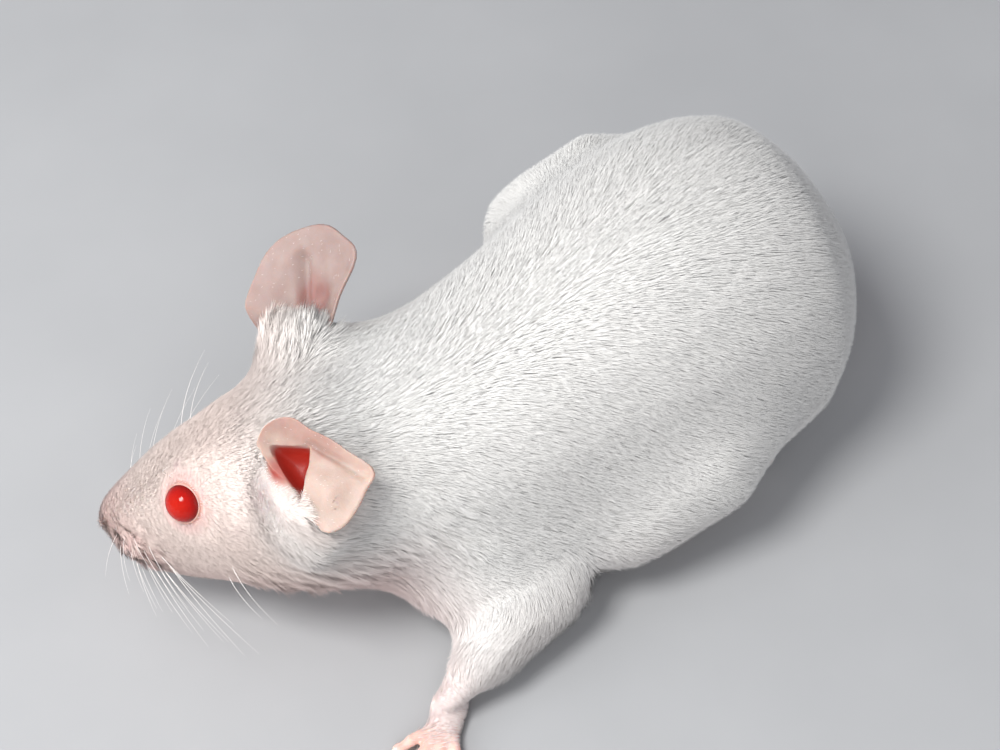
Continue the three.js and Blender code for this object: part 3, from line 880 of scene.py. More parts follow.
def skin_masks(places):
    """Shares from 0 to 1 of ear, foot, tail and bare nose at each place."""
    body = distances(body_tree, places, MASK_REACH)

    def belongs(names):
        part = np.min([distances(part_trees[n], places, MASK_REACH) for n in names], axis=0)
        return ramp(body - part, -0.05 * MM, 0.5 * MM)

    ear = belongs(["ear_left_skin", "ear_right_skin"])
    foot = belongs([n + "_skin" for n in FEET])
    tail = belongs(["tail_skin"])
    head = head_places(places) / MM
    nose = 1 - ramp(np.linalg.norm((head - (0.1, 0, -0.1)) / (0.8, 1.05, 0.65), axis=1), 0.7, 1.25)
    for shape in EARS.values():
        if shape["hollow"]:
            bottom = (*np.mean(shape["hollow"], axis=0), -2.4)
            inside = bump_at(in_ear(shape, places), bottom, 1.7, (1.4, 1.0, 1.0))
            ear = np.maximum(ear, ramp(inside, 0.1, 0.4))
    return {"ear": ear, "foot": foot, "tail": tail, "nose": nose}


def hollow_blood_shade(places):
    """How much blood red and painted shade a place gets, by how deep it lies in an ear's cup."""
    share = np.zeros(len(places))
    for ear in EARS.values():
        local = in_ear(ear, places)
        centre = np.mean(ear["hollow"] or [(2.2, -1.4)], axis=0) + 0.5 * np.array(ear["under"])
        wide = np.linalg.norm((local[:, :2] - centre) / (2.6, 2.0), axis=1)
        deep = (1 - ramp(wide, 0.8, 1.3)) * ramp(-local[:, 2], 1.05, 2.0)
        share = np.maximum(share, ear["red_and_shade"] * deep * (wide < 2) * (local[:, 2] > -5))
    return share


points = points_of(mesh)
masks = skin_masks(points)
# Blood red and painted shade by depth in each ear's cup
hollow = hollow_blood_shade(points)
print("masks", {k: int((v > 0.5).sum()) for k, v in masks.items()})

# %% [markdown]
# ## The lie of the coat
# Hair grows away from the nose, parts round the eyes, runs back over the trunk while fanning
# out and down over the flanks, and follows each limb to its foot. The lie is a direction at
# every place: a sum of such streams, pressed flat onto the skin.

# %% Directions of hair
# Each limb as a line of places and radii, from the body outwards
LIMBS = [
    [(-3.5, -9, 14, 5.6), (-9, -12.2, 6.8, 5.4), (-2, -16.6, 5.8, 4.1), (-7.4, -18.7, 4.9, 3.9),
     (-14.8, -22.4, 2.2, 1.8)],
    [(-3.5, 3.5, 14, 5.4), (-8, 5.8, 6.8, 4.8), (1, 9.4, 5.4, 3.8), (-6, 9.4, 4.4, 3), (-15.2, 9, 2, 1.7)],
    [(22.5, -8.5, 13.6, 7), (14, -13.2, 10.4, 7), (6.6, -14.7, 7.8, 5.2), (15, -12, 4.8, 3.6),
     (22, -10.7, 3, 2.2)],
    [(24, 8, 17, 7.2), (17.2, 11.5, 18.2, 7), (12.2, 12.3, 16, 5.9), (15.6, 12.2, 8.2, 4),
     (20.5, 11.8, 3.2, 2.2)],
]


def unit(vectors):
    return vectors / np.maximum(np.linalg.norm(vectors, axis=1), 1e-12)[:, None]


def limb_stream(places):
    """Along the nearest limb, with how firmly that limb holds the place."""
    flow, hold = np.zeros_like(places), np.zeros(len(places))
    for line in LIMBS:
        stations = np.array(line, float)
        for start, end in zip(stations[:-1], stations[1:]):
            if end[0] < start[0] and end[2] > 5.5:
                continue  # over the shoulder and thigh the hair runs with the trunk
            a, b = (start[:3] + SHIFT) * MM, (end[:3] + SHIFT) * MM
            run = b - a
            share = np.clip((places - a) @ run / (run @ run), 0, 1)
            gap = np.linalg.norm(places - a - share[:, None] * run, axis=1)
            radius = (start[3] + (end[3] - start[3]) * share) * MM
            grip = 1 - ramp(gap / radius, 0.85, 1.35) + 1e-6
            flow += grip[:, None] * run / np.linalg.norm(run)
            hold = np.maximum(hold, grip)
    return unit(flow), hold


def lie_of_hair(places, normals):
    """The way hair points at each place: a mix of streams, pressed onto the skin."""
    head = head_places(places) / MM
    count = len(places)
    side = np.clip((places[:, 1] / MM - 2.0) / 12.0, -1, 1)
    stream = np.stack([np.ones(count), 0.34 * side, -0.3 - 0.25 * np.abs(side)], 1)
    head_side = np.clip(head[:, 1] / 6, -1, 1)
    head_rise = np.clip(head[:, 2] / 5, -1, 1)
    face = np.stack([np.ones(count), 0.3 * head_side, -0.22 + 0.12 * head_rise], 1)
    muzzle = unit(np.stack([head[:, 0] + 0.6, head[:, 1], head[:, 2] + 0.8], 1))
    early = (1 - ramp(head[:, 0], 1.5, 6.0))[:, None]
    face = (face * (1 - early) + muzzle * early) @ HEAD_AXES.T
    of_head = (1 - ramp(head[:, 0], 17, 31))[:, None]
    stream = stream * (1 - of_head) + face * of_head
    for centre in EYES.values():
        away = (places - centre) / MM
        gap = np.linalg.norm(away, axis=1)
        push = 1.5 * np.exp(-(((gap - 1.8) / 1.3) ** 2))
        stream = unit(stream) + push[:, None] * away / np.maximum(gap, 0.1)[:, None]
    limb, hold = limb_stream(places)
    hold = (hold * ramp(head[:, 0], 26, 34))[:, None]
    stream = unit(stream) * (1 - hold) + limb * hold
    stream -= normals * np.sum(stream * normals, axis=1)[:, None]
    return unit(stream)


# %% [markdown]
# ## Tone of the hair and skin
# The animal has no pigment, so its own tones come from blood and thickness. The hair is ivory on
# the head and whitest on the shoulders. Thin places are warmer: the throat, the insides of
# the legs, round the eyes, the muzzle and the toes. Some darker tones are painted shade: the
# whisker pads, the far ear and the near ear's fold, and partly the mauve before the ear and the
# deep red of the ear's hollow.

# %% Tone by place
WHITE = np.array([0.95, 0.94, 0.915])
IVORY = np.array([0.88, 0.735, 0.675])
BLUSH = np.array([0.78, 0.49, 0.46])
# Mauve of thin hair over skin, darkened as painted shade
MAUVE_AND_SHADE = np.array([0.50, 0.33, 0.35])
# Whisker-pad tone: painted shade with a red tint of reflected light
PAD_SHADE = np.array([0.46, 0.26, 0.25])
PINK_SKIN = np.array([0.86, 0.70, 0.63])
LID_EDGE = np.array([0.66, 0.36, 0.31])
# The far ear is the same skin as the near one, painted darker as shade
NEAR_EAR, FAR_EAR_SHADED = np.array([0.52, 0.405, 0.35]), np.array([0.35, 0.27, 0.252])
# Blood red of the ear's hollow, made darker as painted shade
EAR_BLOOD_SHADE = np.array([0.33, 0.018, 0.010])
FOOT_PINK = np.array([0.85, 0.56, 0.49])
TAIL_PINK = np.array([0.82, 0.57, 0.49])
NOSE_PINK = np.array([0.86, 0.56, 0.53])


def wave(places, size, seed):
    """A smooth random value from -1 to 1 that changes over about size millimetres."""
    local = np.random.default_rng(seed)
    value = np.zeros(len(places))
    for _ in range(6):
        way = local.normal(size=3)
        way *= 2 * np.pi / (size * MM) / np.linalg.norm(way) * local.uniform(0.6, 1.5)
        value += np.sin(places @ way + local.uniform(0, 6.28))
    return value / 3.5


def hair_tone(places):
    """The colour of hair at each place, before each lock's own small difference, with painted shade on the
    whisker pads and in the mauve before the ear.
    """
    head = head_places(places) / MM
    by_ear = 0.9 * bump_at(head, (24.0, -9.0, 3.5), 3.6)
    of_head = np.maximum(1 - ramp(head[:, 0], 14, 28), by_ear)[:, None]
    tone = WHITE * (1 - of_head) + IVORY * of_head
    low = 1 - ramp(places[:, 2] / MM, 3.0, 12.0)
    muzzle = 1 - ramp(head[:, 0], 1.0, 7.0)
    throat = (1 - ramp(head[:, 2], -8.5, -1.5)) * (1 - ramp(head[:, 0], 22, 34))
    eye_ring = 1 - ramp(eye_distance(places), 2.0, 3.2)
    flush = np.clip(0.14 * low + 0.5 * muzzle + 0.5 * throat + 0.6 * eye_ring, 0, 0.8)[:, None]
    tone = tone * (1 - flush) + BLUSH * flush
    mirrored = both_sides(head)
    # The whisker pads are mottled darker and redder: painted shade with reflected red light
    pad_shade = 0.7 * bump_at(mirrored, (4.8, 4.0, -1.4), 2.4) * (0.75 + 0.5 * wave(places, 1.1, 12))
    pad_shade = pad_shade[:, None]
    tone = tone * (1 - pad_shade) + PAD_SHADE * pad_shade
    # Thin-haired spots turn a dark mauve: skin seen through thin hair, darkened as painted shade, most in the
    # hollow before the ear
    thin = 0.75 * bump_at(head, (11.8, -3.2, 6.2), 0.45)  # over the eye
    thin = thin + 0.5 * bump_at(head, (20.4, -7.9, 4.4), 1.9, (1.3, 1, 0.8))  # before the ear
    thin *= 0.8 + 0.5 * wave(places, 1.0, 13)
    thin = np.clip(thin + 0.35 * bump_at(head, (15.7, -8.2, 1.7), 0.6), 0, 1)[:, None]  # cheek
    return tone * (1 - thin) + MAUVE_AND_SHADE * thin


def wrist_distance(places):
    """Distance in millimetres from the nearest heel or wrist."""
    heels = [np.array([x + SHIFT[0], y + SHIFT[1], 1.5]) for _, (x, y), _, _ in FEET.values()]
    return np.min([np.linalg.norm(places / MM - heel, axis=1) for heel in heels], axis=0)


def skin_tone(places, masks):
    """The colour of the skin under the hair and of the bare parts, with painted shade on the far ear, along
    the near ear's fold and deep in the ears.
    """
    tone = hair_tone(places) * 0.7 + PINK_SKIN * 0.3
    lid = (1 - ramp(eye_distance(places), EYE_RADIUS / MM + 0.1, EYE_RADIUS / MM + 0.45))[:, None]
    tone = tone * (1 - lid) + LID_EDGE * lid
    # The far ear takes a darker copy of the ear colour: painted shade
    shaded_far_ear = ramp(head_places(places)[:, 1] / MM, 0.0, 4.0)[:, None]
    local = in_ear(EARS["left"], places)
    # A darker, redder band along the near ear's fold: painted shade
    fold_shade = (0.3 * ramp(local[:, 1], 1.2, 2.8) * (1 - ramp(local[:, 0], 2.0, 6.0)))[:, None] * (1 - shaded_far_ear)
    ear_tone_and_shade = NEAR_EAR * (1 - shaded_far_ear) + FAR_EAR_SHADED * shaded_far_ear
    ear_tone_and_shade = ear_tone_and_shade * (1 - fold_shade * np.array([0.8, 1.2, 1.2]))
    bare = (("ear", ear_tone_and_shade), ("foot", FOOT_PINK), ("tail", TAIL_PINK), ("nose", NOSE_PINK))
    for name, colour in bare:
        share = masks[name][:, None]
        if name == "foot":
            share = share * (0.15 + 0.85 * ramp(wrist_distance(places), 1.0, 4.5))[:, None]
        tone = tone * (1 - share) + colour * share
    # Deep in the ears the skin turns dark blood red, darker with depth as painted shade; on the far ear it is
    # a painted shadow in a small pocket
    deep = hollow[:, None]
    return tone * (1 - deep) + EAR_BLOOD_SHADE * deep


def add_colour(mesh, name, values):
    layer = mesh.attributes.new(name, "FLOAT_COLOR", "POINT")
    opaque = np.column_stack([values, np.ones(len(values))])
    layer.data.foreach_set("color", opaque.astype(np.float32).ravel())


def add_number(mesh, name, values):
    layer = mesh.attributes.new(name, "FLOAT", "POINT")
    layer.data.foreach_set("value", np.asarray(values, np.float32))


add_colour(mesh, "tone", skin_tone(points, masks))
shade_smooth(mesh)
print("toned", len(points), "points")

# %% [markdown]
# ## Unwrapping the skin
# Each tuft of hair takes its place on a flat map of the skin. The skin is unwrapped by its own
# shape, in charts that face roughly one way, so no two places share a spot of the map.

# %% Flat map of the skin
bpy.context.view_layer.objects.active = skin
for other in bpy.context.selected_objects:
    other.select_set(False)
skin.select_set(True)
bpy.ops.object.mode_set(mode="EDIT")
bpy.ops.mesh.select_all(action="SELECT")
bpy.ops.uv.smart_project(angle_limit=math.radians(60), island_margin=0.002, rotate_method="AXIS_ALIGNED")
bpy.ops.object.mode_set(mode="OBJECT")
mesh = skin.data
mesh.uv_layers[0].name = "OFBake"
print("unwrapped", len(mesh.loops), "corners")

# %% [markdown]
# ## The coat
# Under a lens a mouse's coat is a mass of fine tapering locks that overlap like thatch. Each
# lock here is a small solid: a three-sided spike, rooted just under the skin and leaning along
# it. Roots are spread by area, closer together on the face, and each lock is laid over the
# skin by asking for the nearest skin at its tip.

# %% Where hair stands out
def stands_up(places):
    """Where hair stands out: the crown by the far ear, the whisker pads, the elbow and the jaw."""
    head = head_places(places) / MM
    mirrored = both_sides(head)
    along, across, out = in_ear(EARS["right"], places).T
    crown = ramp(along, -6.5, -2.8) * (1 - ramp(along, 1.0, 2.5))
    crown = crown * (1 - ramp(np.abs(across + 0.4), 3.6, 5.6)) * ramp(out, -1.9, -0.7)
    pad = bump_at(mirrored, (5.0, 4.2, -1.0), 2.2)
    pad = np.maximum(pad, 0.5 * bump_at(mirrored, (2.8, 2.6, -1.6), 1.4))
    jaw = ramp(head[:, 0], 11, 16) * (1 - ramp(head[:, 0], 32, 38))
    jaw = jaw * np.exp(-(((head[:, 2] + 5.5) / 2.6) ** 2))
    elbow = bump_at(places / MM, (-2.5, -15.6, 5.6), 2.6)
    return np.clip(crown, 0, 1), pad, elbow, jaw


# %% How long and how thick it grows
def ear_front_distance(places):
    """Distance in millimetres from the thinly haired slope in front of the near ear."""
    head = head_places(places) / MM
    return np.linalg.norm((head - (21.2, -8.1, 4.4)) / (0.9, 1.3, 1.3), axis=1)


EAR_HAIR = 0.3


def hair_length(places, normals, near_foot, masks):
    """Length of the locks in millimetres."""
    head = head_places(places) / MM
    length = 0.75 + 2.0 * ramp(head[:, 0], 2.0, 30.0)
    length = np.minimum(length, 0.5 + 2.6 * ramp(eye_distance(places), 1.9, 8.0))
    length = np.minimum(length, 0.75 + 2.2 * ramp(near_foot, 0.0, 10.0))
    length *= 1 + 0.2 * ramp(-normals[:, 2], 0.1, 0.8)
    crown, pad, elbow, jaw = stands_up(places)
    length += 1.3 * crown + 0.75 * pad + 0.5 * elbow + 0.7 * jaw
    by_hollow = np.linalg.norm(in_ear(EARS["left"], places) - (0.4, -0.2, -0.6), axis=1)
    length = np.minimum(length, 0.4 + 2.2 * ramp(by_hollow, 2.0, 6.5))
    length = np.minimum(length, 0.5 + 1.6 * ramp(ear_front_distance(places), 1.0, 4.5))
    return length * (1 - masks["ear"]) + EAR_HAIR * masks["ear"]


def hair_share(places, masks):
    """How thickly hair grows: 1 on the body, thin on feet and ears and none on the nose."""
    toes = masks["foot"] * (0.1 + 0.85 * ramp(wrist_distance(places), 1.2, 5.0))
    share = 1 - np.maximum.reduce([masks["ear"] * 0.98, toes, masks["tail"], masks["nose"]])
    share *= 1 - ramp(hollow, 0.02, 0.2)
    share *= ramp(eye_distance(places), EYE_RADIUS / MM + 0.06, EYE_RADIUS / MM + 0.3)
    return np.clip(share, 0, 1)


# %% Growth over the skin's triangles
LOCKS = 350000


def corners_of(mesh):
    flat = np.empty(len(mesh.loops), np.int32)
    mesh.loops.foreach_get("vertex_index", flat)
    return flat.reshape(-1, 3)


corner_points = corners_of(mesh)
skin_normals = normals_of(mesh)
near_foot = distance_to(foot_trees, points, 12 * MM) / MM
share = hair_share(points, masks)
skin_length = hair_length(points, skin_normals, near_foot, masks)
skin_depth = coat_depth(points) * (1 - masks["ear"]) + 0.08 * MM * masks["ear"]
head = head_places(points) / MM
thickness = 1 + 0.6 * (1 - ramp(head[:, 0], 8, 32))
triangle = points[corner_points]
area = np.cross(triangle[:, 1] - triangle[:, 0], triangle[:, 2] - triangle[:, 0])
area = 0.5 * np.linalg.norm(area, axis=1)
growth = area / MM**2 * (share * thickness)[corner_points].mean(1)
print("locks", LOCKS, "per mm2 on the back", round(LOCKS / float(growth.sum())))

# %% Roots and directions
rng = np.random.default_rng(11)
running = np.cumsum(growth)
picked = np.searchsorted(running, (np.arange(LOCKS) + rng.random(LOCKS)) / LOCKS * running[-1])
picked = np.minimum(picked, len(growth) - 1)
mix = rng.random((LOCKS, 2))
mix[mix.sum(1) > 1] = 1 - mix[mix.sum(1) > 1]
weights = np.column_stack([1 - mix.sum(1), mix])
own = corner_points[picked]
root = np.einsum("nk,nkc->nc", weights, points[own])
root_normal = unit(np.einsum("nk,nkc->nc", weights, skin_normals[own]))
fine = np.einsum("nk,nk->n", weights, masks["ear"][own])
uv_flat = np.empty(len(mesh.loops) * 2, np.float32)
mesh.uv_layers["OFBake"].data.foreach_get("uv", uv_flat)
root_uv = np.einsum("nk,nkc->nc", weights, uv_flat.reshape(-1, 3, 2)[picked])
lie = lie_of_hair(root, root_normal)
aside = np.cross(root_normal, lie)
swirl = np.radians(4) * wave(root, 6.0, 3) + np.radians(5) * wave(root, 1.2, 4)
swirl = swirl + rng.normal(0, np.radians(5), LOCKS)
crown, pad, elbow, jaw = stands_up(root)
crown *= 1 - fine
swirl += pad * np.radians(85) * wave(root, 1.5, 5) + crown * np.radians(16) * wave(root, 1.5, 6)
lie = unit(lie * np.cos(swirl)[:, None] + aside * np.sin(swirl)[:, None])
length = np.einsum("nk,nk->n", weights, skin_length[own]) * rng.uniform(0.72, 1.12, LOCKS) * MM
print("length mm", round(float(length.min() / MM), 2), "to", round(float(length.max() / MM), 2))

# %% Laying each lock over the skin
skin_tree = tree_of(mesh)


def laid(places, fallback):
    """The nearest place of the skin and its normal."""
    on_skin, normal = places.copy(), fallback.copy()
    for i, place in enumerate(places):
        hit = skin_tree.find_nearest(Vector(place), 2.5 * MM)
        if hit[0] is not None:
            on_skin[i], normal[i] = hit[0], hit[1]
    return on_skin, normal


depth = np.einsum("nk,nk->n", weights, skin_depth[own])
layer = rng.uniform(0.72, 1.0, LOCKS)
tuft = ramp(wave(root, 1.2, 8), 0.0, 0.8)
rise = depth * layer * (1 + 0.4 * ramp(-root_normal[:, 2], 0.0, 0.7))
rise *= 0.2 + 0.8 * ramp(ear_front_distance(root), 1.5, 4.5)
rise += tuft * (0.85 * pad + 0.7 * elbow + 0.9 * jaw) * rng.uniform(0.5, 1.0, LOCKS) * MM
tip_place, tip_normal = laid(root + lie * length[:, None], root_normal)
centre_root = root - root_normal * 0.06 * MM
centre_tip = tip_place + unit(tip_normal + root_normal) * (rise + 0.05 * MM)[:, None]
along_ear = ear_axes(EARS["right"]).T[0] @ HEAD_AXES.T
brushed = unit(along_ear + 0.28 * root_normal + rng.normal(0, 0.09, (LOCKS, 3)))
standing = root + brushed * (length * (0.85 + 0.3 * wave(root, 1.4, 9)))[:, None]
centre_tip += (standing - centre_tip) * crown[:, None]
centre_tip[:, 2] = np.maximum(centre_tip[:, 2], 0.02 * MM)
width = (0.11 + 0.07 * ramp(length / MM, 0.8, 2.6)) * rng.uniform(0.75, 1.2, LOCKS) * MM
width *= (1 - 0.65 * fine) * (1 + 0.6 * pad + 0.3 * crown)
print("laid locks, widest mm", round(float(width.max() / MM), 2))


# %% Locks as meshes
LOCK_FACES = [(0, 1, 2), (0, 3, 1), (1, 3, 2), (2, 3, 0)]  # three root corners, then the tip
PATCH = 0.0028  # width of a lock's patch on the flat map
LOCKS_PER_PIECE = 48000


def lock_mesh(name, chosen):
    """One mesh of three-sided locks with their colours, shading and map."""
    count = len(chosen)
    start, end, n = centre_root[chosen], centre_tip[chosen], root_normal[chosen]
    w = width[chosen][:, None]
    side = unit(np.cross(end - start, n))
    verts = np.stack([start - side * w / 2, start + side * w / 2, start + n * w * 0.5, end], 1).reshape(-1, 3)
    verts[:, 2] = np.maximum(verts[:, 2], 0.0)
    faces = (np.arange(count)[:, None, None] * 4 + np.array(LOCK_FACES)).reshape(-1, 3)
    made = bpy.data.meshes.new(name)
    made.vertices.add(len(verts))
    made.vertices.foreach_set("co", verts.astype(np.float32).ravel())
    made.loops.add(faces.size)
    made.loops.foreach_set("vertex_index", faces.astype(np.int32).ravel())
    made.polygons.add(len(faces))
    made.polygons.foreach_set("loop_start", np.arange(0, faces.size, 3, dtype=np.int32))
    made.update(calc_edges=True)
    shade_smooth(made)
    soft = unit(n + tip_normal[chosen])
    lean = np.stack([-side * 0.08, side * 0.08, n * 0.3, n * 0.3], 1)
    shade = unit((soft[:, None, :] + lean).reshape(-1, 3))
    made.normals_split_custom_set_from_vertices(shade)
    patch = made.uv_layers.new(name="OFBake")
    spot = np.array([(-1, -1), (1, -1), (0, -0.8), (0, 1)]) * PATCH / 2
    uv = (np.clip(root_uv[chosen], 0.002, 0.998)[:, None, :] + spot).reshape(-1, 2)[faces.ravel()]
    patch.data.foreach_set("uv", uv.astype(np.float32).ravel())
    add_colour(made, "tone", np.repeat(hair_tone(root[chosen]), 4, axis=0))
    # along runs from 0 at the root to 1 at the tip; the hair finish darkens the root with it as painted shade
    add_number(made, "along", np.tile([0, 0, 0, 1.0], count))
    add_number(made, "each", np.repeat(rng.random(count), 4))
    return linked(name, made)


order = np.lexsort((root[:, 2], root[:, 1], np.round(root[:, 0] / (0.5 * MM))))
shares = np.array_split(order, int(np.ceil(LOCKS / LOCKS_PER_PIECE)))
coat = [lock_mesh(f"coat_{number + 1}", chosen) for number, chosen in enumerate(shares)]
print("coat pieces", len(coat), "triangles", sum(len(c.data.polygons) for c in coat))

# %% [markdown]
# ## Eyes
# Without pigment the eye shows the blood behind it: a clear bead of deep orange red. It is a
# smooth ball seated in the lids, its clear front bulging a little along the way the eye looks.

# %% Eyeballs
CORNEA = 0.03  # how far the clear front stands out, as a share of the radius


def eyeball(side, centre):
    bm = bmesh.new()
    bmesh.ops.create_icosphere(bm, subdivisions=5, radius=EYE_RADIUS)
    axis = eye_axis(side)
    for v in bm.verts:
        toward = max(0.0, v.co.normalized().dot(Vector(axis)))
        v.co = v.co * (1 + CORNEA * toward**6) + Vector(centre)
    ball = object_from("eyeball_" + side, bm)
    shade_smooth(ball.data)
    around = (points_of(ball.data) - centre) / EYE_RADIUS
    add_number(ball.data, "front", np.clip(around @ axis, -1, 1))
    return ball


eyeballs = {side: eyeball(side, centre) for side, centre in EYES.items()}
print("eyeball faces", {side: len(ball.data.polygons) for side, ball in eyeballs.items()})

# %% [markdown]
# ## Fine rods from a tree of nodes
# Whiskers and claws are thin rods that follow a path and taper to a point. One Geometry Nodes
# tree makes them all: it turns a mesh of plain edges into curves, thins them towards the tip
# and sweeps a small ring along them.


# %% The rod tree
def rod_tree(material):
    tree = bpy.data.node_groups.new("rods_" + material.name, "GeometryNodeTree")
    tree.interface.new_socket("Paths", in_out="INPUT", socket_type="NodeSocketGeometry")
    for label, value in (("Root radius", 0.0001), ("Tip share", 0.1)):
        socket = tree.interface.new_socket(label, in_out="INPUT", socket_type="NodeSocketFloat")
        socket.default_value = value
    sides = tree.interface.new_socket("Sides", in_out="INPUT", socket_type="NodeSocketInt")
    sides.default_value = 6
    tree.interface.new_socket("Rods", in_out="OUTPUT", socket_type="NodeSocketGeometry")
    make, wire = tree.nodes.new, tree.links.new
    given = make("NodeGroupInput")
    curves = make("GeometryNodeMeshToCurve")
    place = make("GeometryNodeSplineParameter")
    thin = make("ShaderNodeMapRange")
    size = make("ShaderNodeMath")
    size.operation = "MULTIPLY"
    radius = make("GeometryNodeSetCurveRadius")
    ring = make("GeometryNodeCurvePrimitiveCircle")
    sweep = make("GeometryNodeCurveToMesh")
    real = make("GeometryNodeRealizeInstances")
    finish = make("GeometryNodeSetMaterial")
    finish.inputs["Material"].default_value = material
    result = make("NodeGroupOutput")
    wire(given.outputs["Paths"], curves.inputs["Mesh"])
    wire(place.outputs["Factor"], thin.inputs["Value"])
    thin.inputs["To Min"].default_value = 1.0
    wire(given.outputs["Tip share"], thin.inputs["To Max"])
    wire(thin.outputs["Result"], size.inputs[0])
    wire(given.outputs["Root radius"], size.inputs[1])
    wire(curves.outputs["Curve"], radius.inputs["Curve"])
    wire(size.outputs[0], radius.inputs["Radius"])
    wire(given.outputs["Sides"], ring.inputs["Resolution"])
    ring.inputs["Radius"].default_value = 1.0
    wire(radius.outputs["Curve"], sweep.inputs["Curve"])
    wire(ring.outputs["Curve"], sweep.inputs["Profile Curve"])
    if "Scale" in sweep.inputs:
        wire(size.outputs[0], sweep.inputs["Scale"])
    sweep.inputs["Fill Caps"].default_value = True
    wire(sweep.outputs["Mesh"], real.inputs["Geometry"])
    wire(real.outputs["Geometry"], finish.inputs["Geometry"])
    wire(finish.outputs["Geometry"], result.inputs["Rods"])
    return tree


# %% Rods along paths
def rods(name, paths, material, root_radius, tip_share, sides):
    """Solid tapering rods along lists of places, made by the rod tree."""
    mesh = bpy.data.meshes.new(name)
    verts = [p for path in paths for p in path]
    edges, start = [], 0
    for path in paths:
        edges += [(start + i, start + i + 1) for i in range(len(path) - 1)]
        start += len(path)
    mesh.from_pydata([tuple(v) for v in verts], edges, [])
    made = linked(name, mesh)
    tree = rod_tree(material)
    step = made.modifiers.new("rods", "NODES")
    step.node_group = tree
    values = {"Root radius": root_radius, "Tip share": tip_share, "Sides": sides}
    for item in tree.interface.items_tree:
        if item.item_type == "SOCKET" and item.in_out == "INPUT" and item.name in values:
            step[item.identifier] = values[item.name]
    applied(made)
    reworked(made.data, face_outwards)
    shade_smooth(made.data)
    return made


# %% [markdown]
# ## Finishes
# Hair is white but not flat: each lock is a little darker at its root, as painted shade in the
# thatch, and differs slightly from the next. Skin lets light in, which makes the ears and toes
# glow, and has fine pores.
# The eye is dark red inside with a hard clear gloss.


# %% Helpers for finishes
def material(name, **settings):
    made = bpy.data.materials.new(name)
    made.use_nodes = True
    shader = made.node_tree.nodes["Principled BSDF"]
    for socket, value in settings.items():
        shader.inputs[socket.replace("_", " ")].default_value = value
    return made, made.node_tree.nodes, made.node_tree.links, shader


def attribute(nodes, name):
    node = nodes.new("ShaderNodeAttribute")
    node.attribute_name = name
    return node


def colour_ramp(nodes, stops):
    node = nodes.new("ShaderNodeValToRGB")
    for element, (place, colour) in zip(node.color_ramp.elements, (stops[0], stops[-1])):
        element.position, element.color = place, (*colour, 1)
    for place, colour in stops[1:-1]:
        node.color_ramp.elements.new(place).color = (*colour, 1)
    return node


def multiply(nodes, links, first, second):
    node = nodes.new("ShaderNodeMix")
    node.data_type = "RGBA"
    node.blend_type = "MULTIPLY"
    node.inputs["Factor"].default_value = 1.0
    links.new(first, node.inputs["A"])
    links.new(second, node.inputs["B"])
    return node.outputs["Result"]


def noise(nodes, links, scale, detail=3.0):
    place = nodes.new("ShaderNodeTexCoord")
    node = nodes.new("ShaderNodeTexNoise")
    node.inputs["Scale"].default_value = scale
    node.inputs["Detail"].default_value = detail
    links.new(place.outputs["Object"], node.inputs["Vector"])
    return node.outputs["Fac"]


def bump(nodes, links, shader, height, strength, distance):
    node = nodes.new("ShaderNodeBump")
    node.inputs["Strength"].default_value = strength
    node.inputs["Distance"].default_value = distance
    links.new(height, node.inputs["Height"])
    links.new(node.outputs["Normal"], shader.inputs["Normal"])


# %% Hair and skin
hair_finish, nodes, links, shader = material("white_hair", Roughness=0.55, Specular_IOR_Level=0.35,
                                             Sheen_Weight=0.15, Sheen_Roughness=0.4)
# The root end of each lock is a little darker: painted shade where the locks overlap
along = colour_ramp(nodes, [(0.0, (0.97, 0.96, 0.955)), (0.5, (1, 1, 1)), (1.0, (1, 1, 1))])
links.new(attribute(nodes, "along").outputs["Fac"], along.inputs["Fac"])
each = colour_ramp(nodes, [(0.0, (0.955, 0.95, 0.945)), (1.0, (1.0, 1.0, 1.0))])
links.new(attribute(nodes, "each").outputs["Fac"], each.inputs["Fac"])
tone = multiply(nodes, links, attribute(nodes, "tone").outputs["Color"], along.outputs["Color"])
links.new(multiply(nodes, links, tone, each.outputs["Color"]), shader.inputs["Base Color"])

skin_finish, nodes, links, shader = material("thin_skin", Roughness=0.48, Specular_IOR_Level=0.4,
                                             Subsurface_Weight=0.45, Subsurface_Scale=0.0012)
shader.inputs["Subsurface Radius"].default_value = (1.0, 0.35, 0.2)
mottle = colour_ramp(nodes, [(0.3, (0.90, 0.84, 0.82)), (0.7, (1.0, 1.0, 1.0))])
links.new(noise(nodes, links, 700.0), mottle.inputs["Fac"])
links.new(multiply(nodes, links, attribute(nodes, "tone").outputs["Color"], mottle.outputs["Color"]),
          shader.inputs["Base Color"])
bump(nodes, links, shader, noise(nodes, links, 5200.0, 4.0), 0.35, 0.00006)

# %% Eye, whisker, claw and scale
eye_finish, nodes, links, shader = material("red_eye", Roughness=0.05, Specular_IOR_Level=0.3,
                                            Subsurface_Weight=0.2, Subsurface_Scale=0.001)
shader.inputs["Subsurface Radius"].default_value = (1.0, 0.2, 0.1)
depths = colour_ramp(nodes, [(0.35, (0.18, 0.004, 0.002)), (0.7, (0.39, 0.005, 0.002)),
                             (1.0, (0.46, 0.012, 0.004))])
links.new(attribute(nodes, "front").outputs["Fac"], depths.inputs["Fac"])
glimmer = colour_ramp(nodes, [(0.3, (0.9, 0.8, 0.8)), (0.75, (1, 1, 1))])
links.new(noise(nodes, links, 900.0), glimmer.inputs["Fac"])
links.new(multiply(nodes, links, depths.outputs["Color"], glimmer.outputs["Color"]),
          shader.inputs["Base Color"])

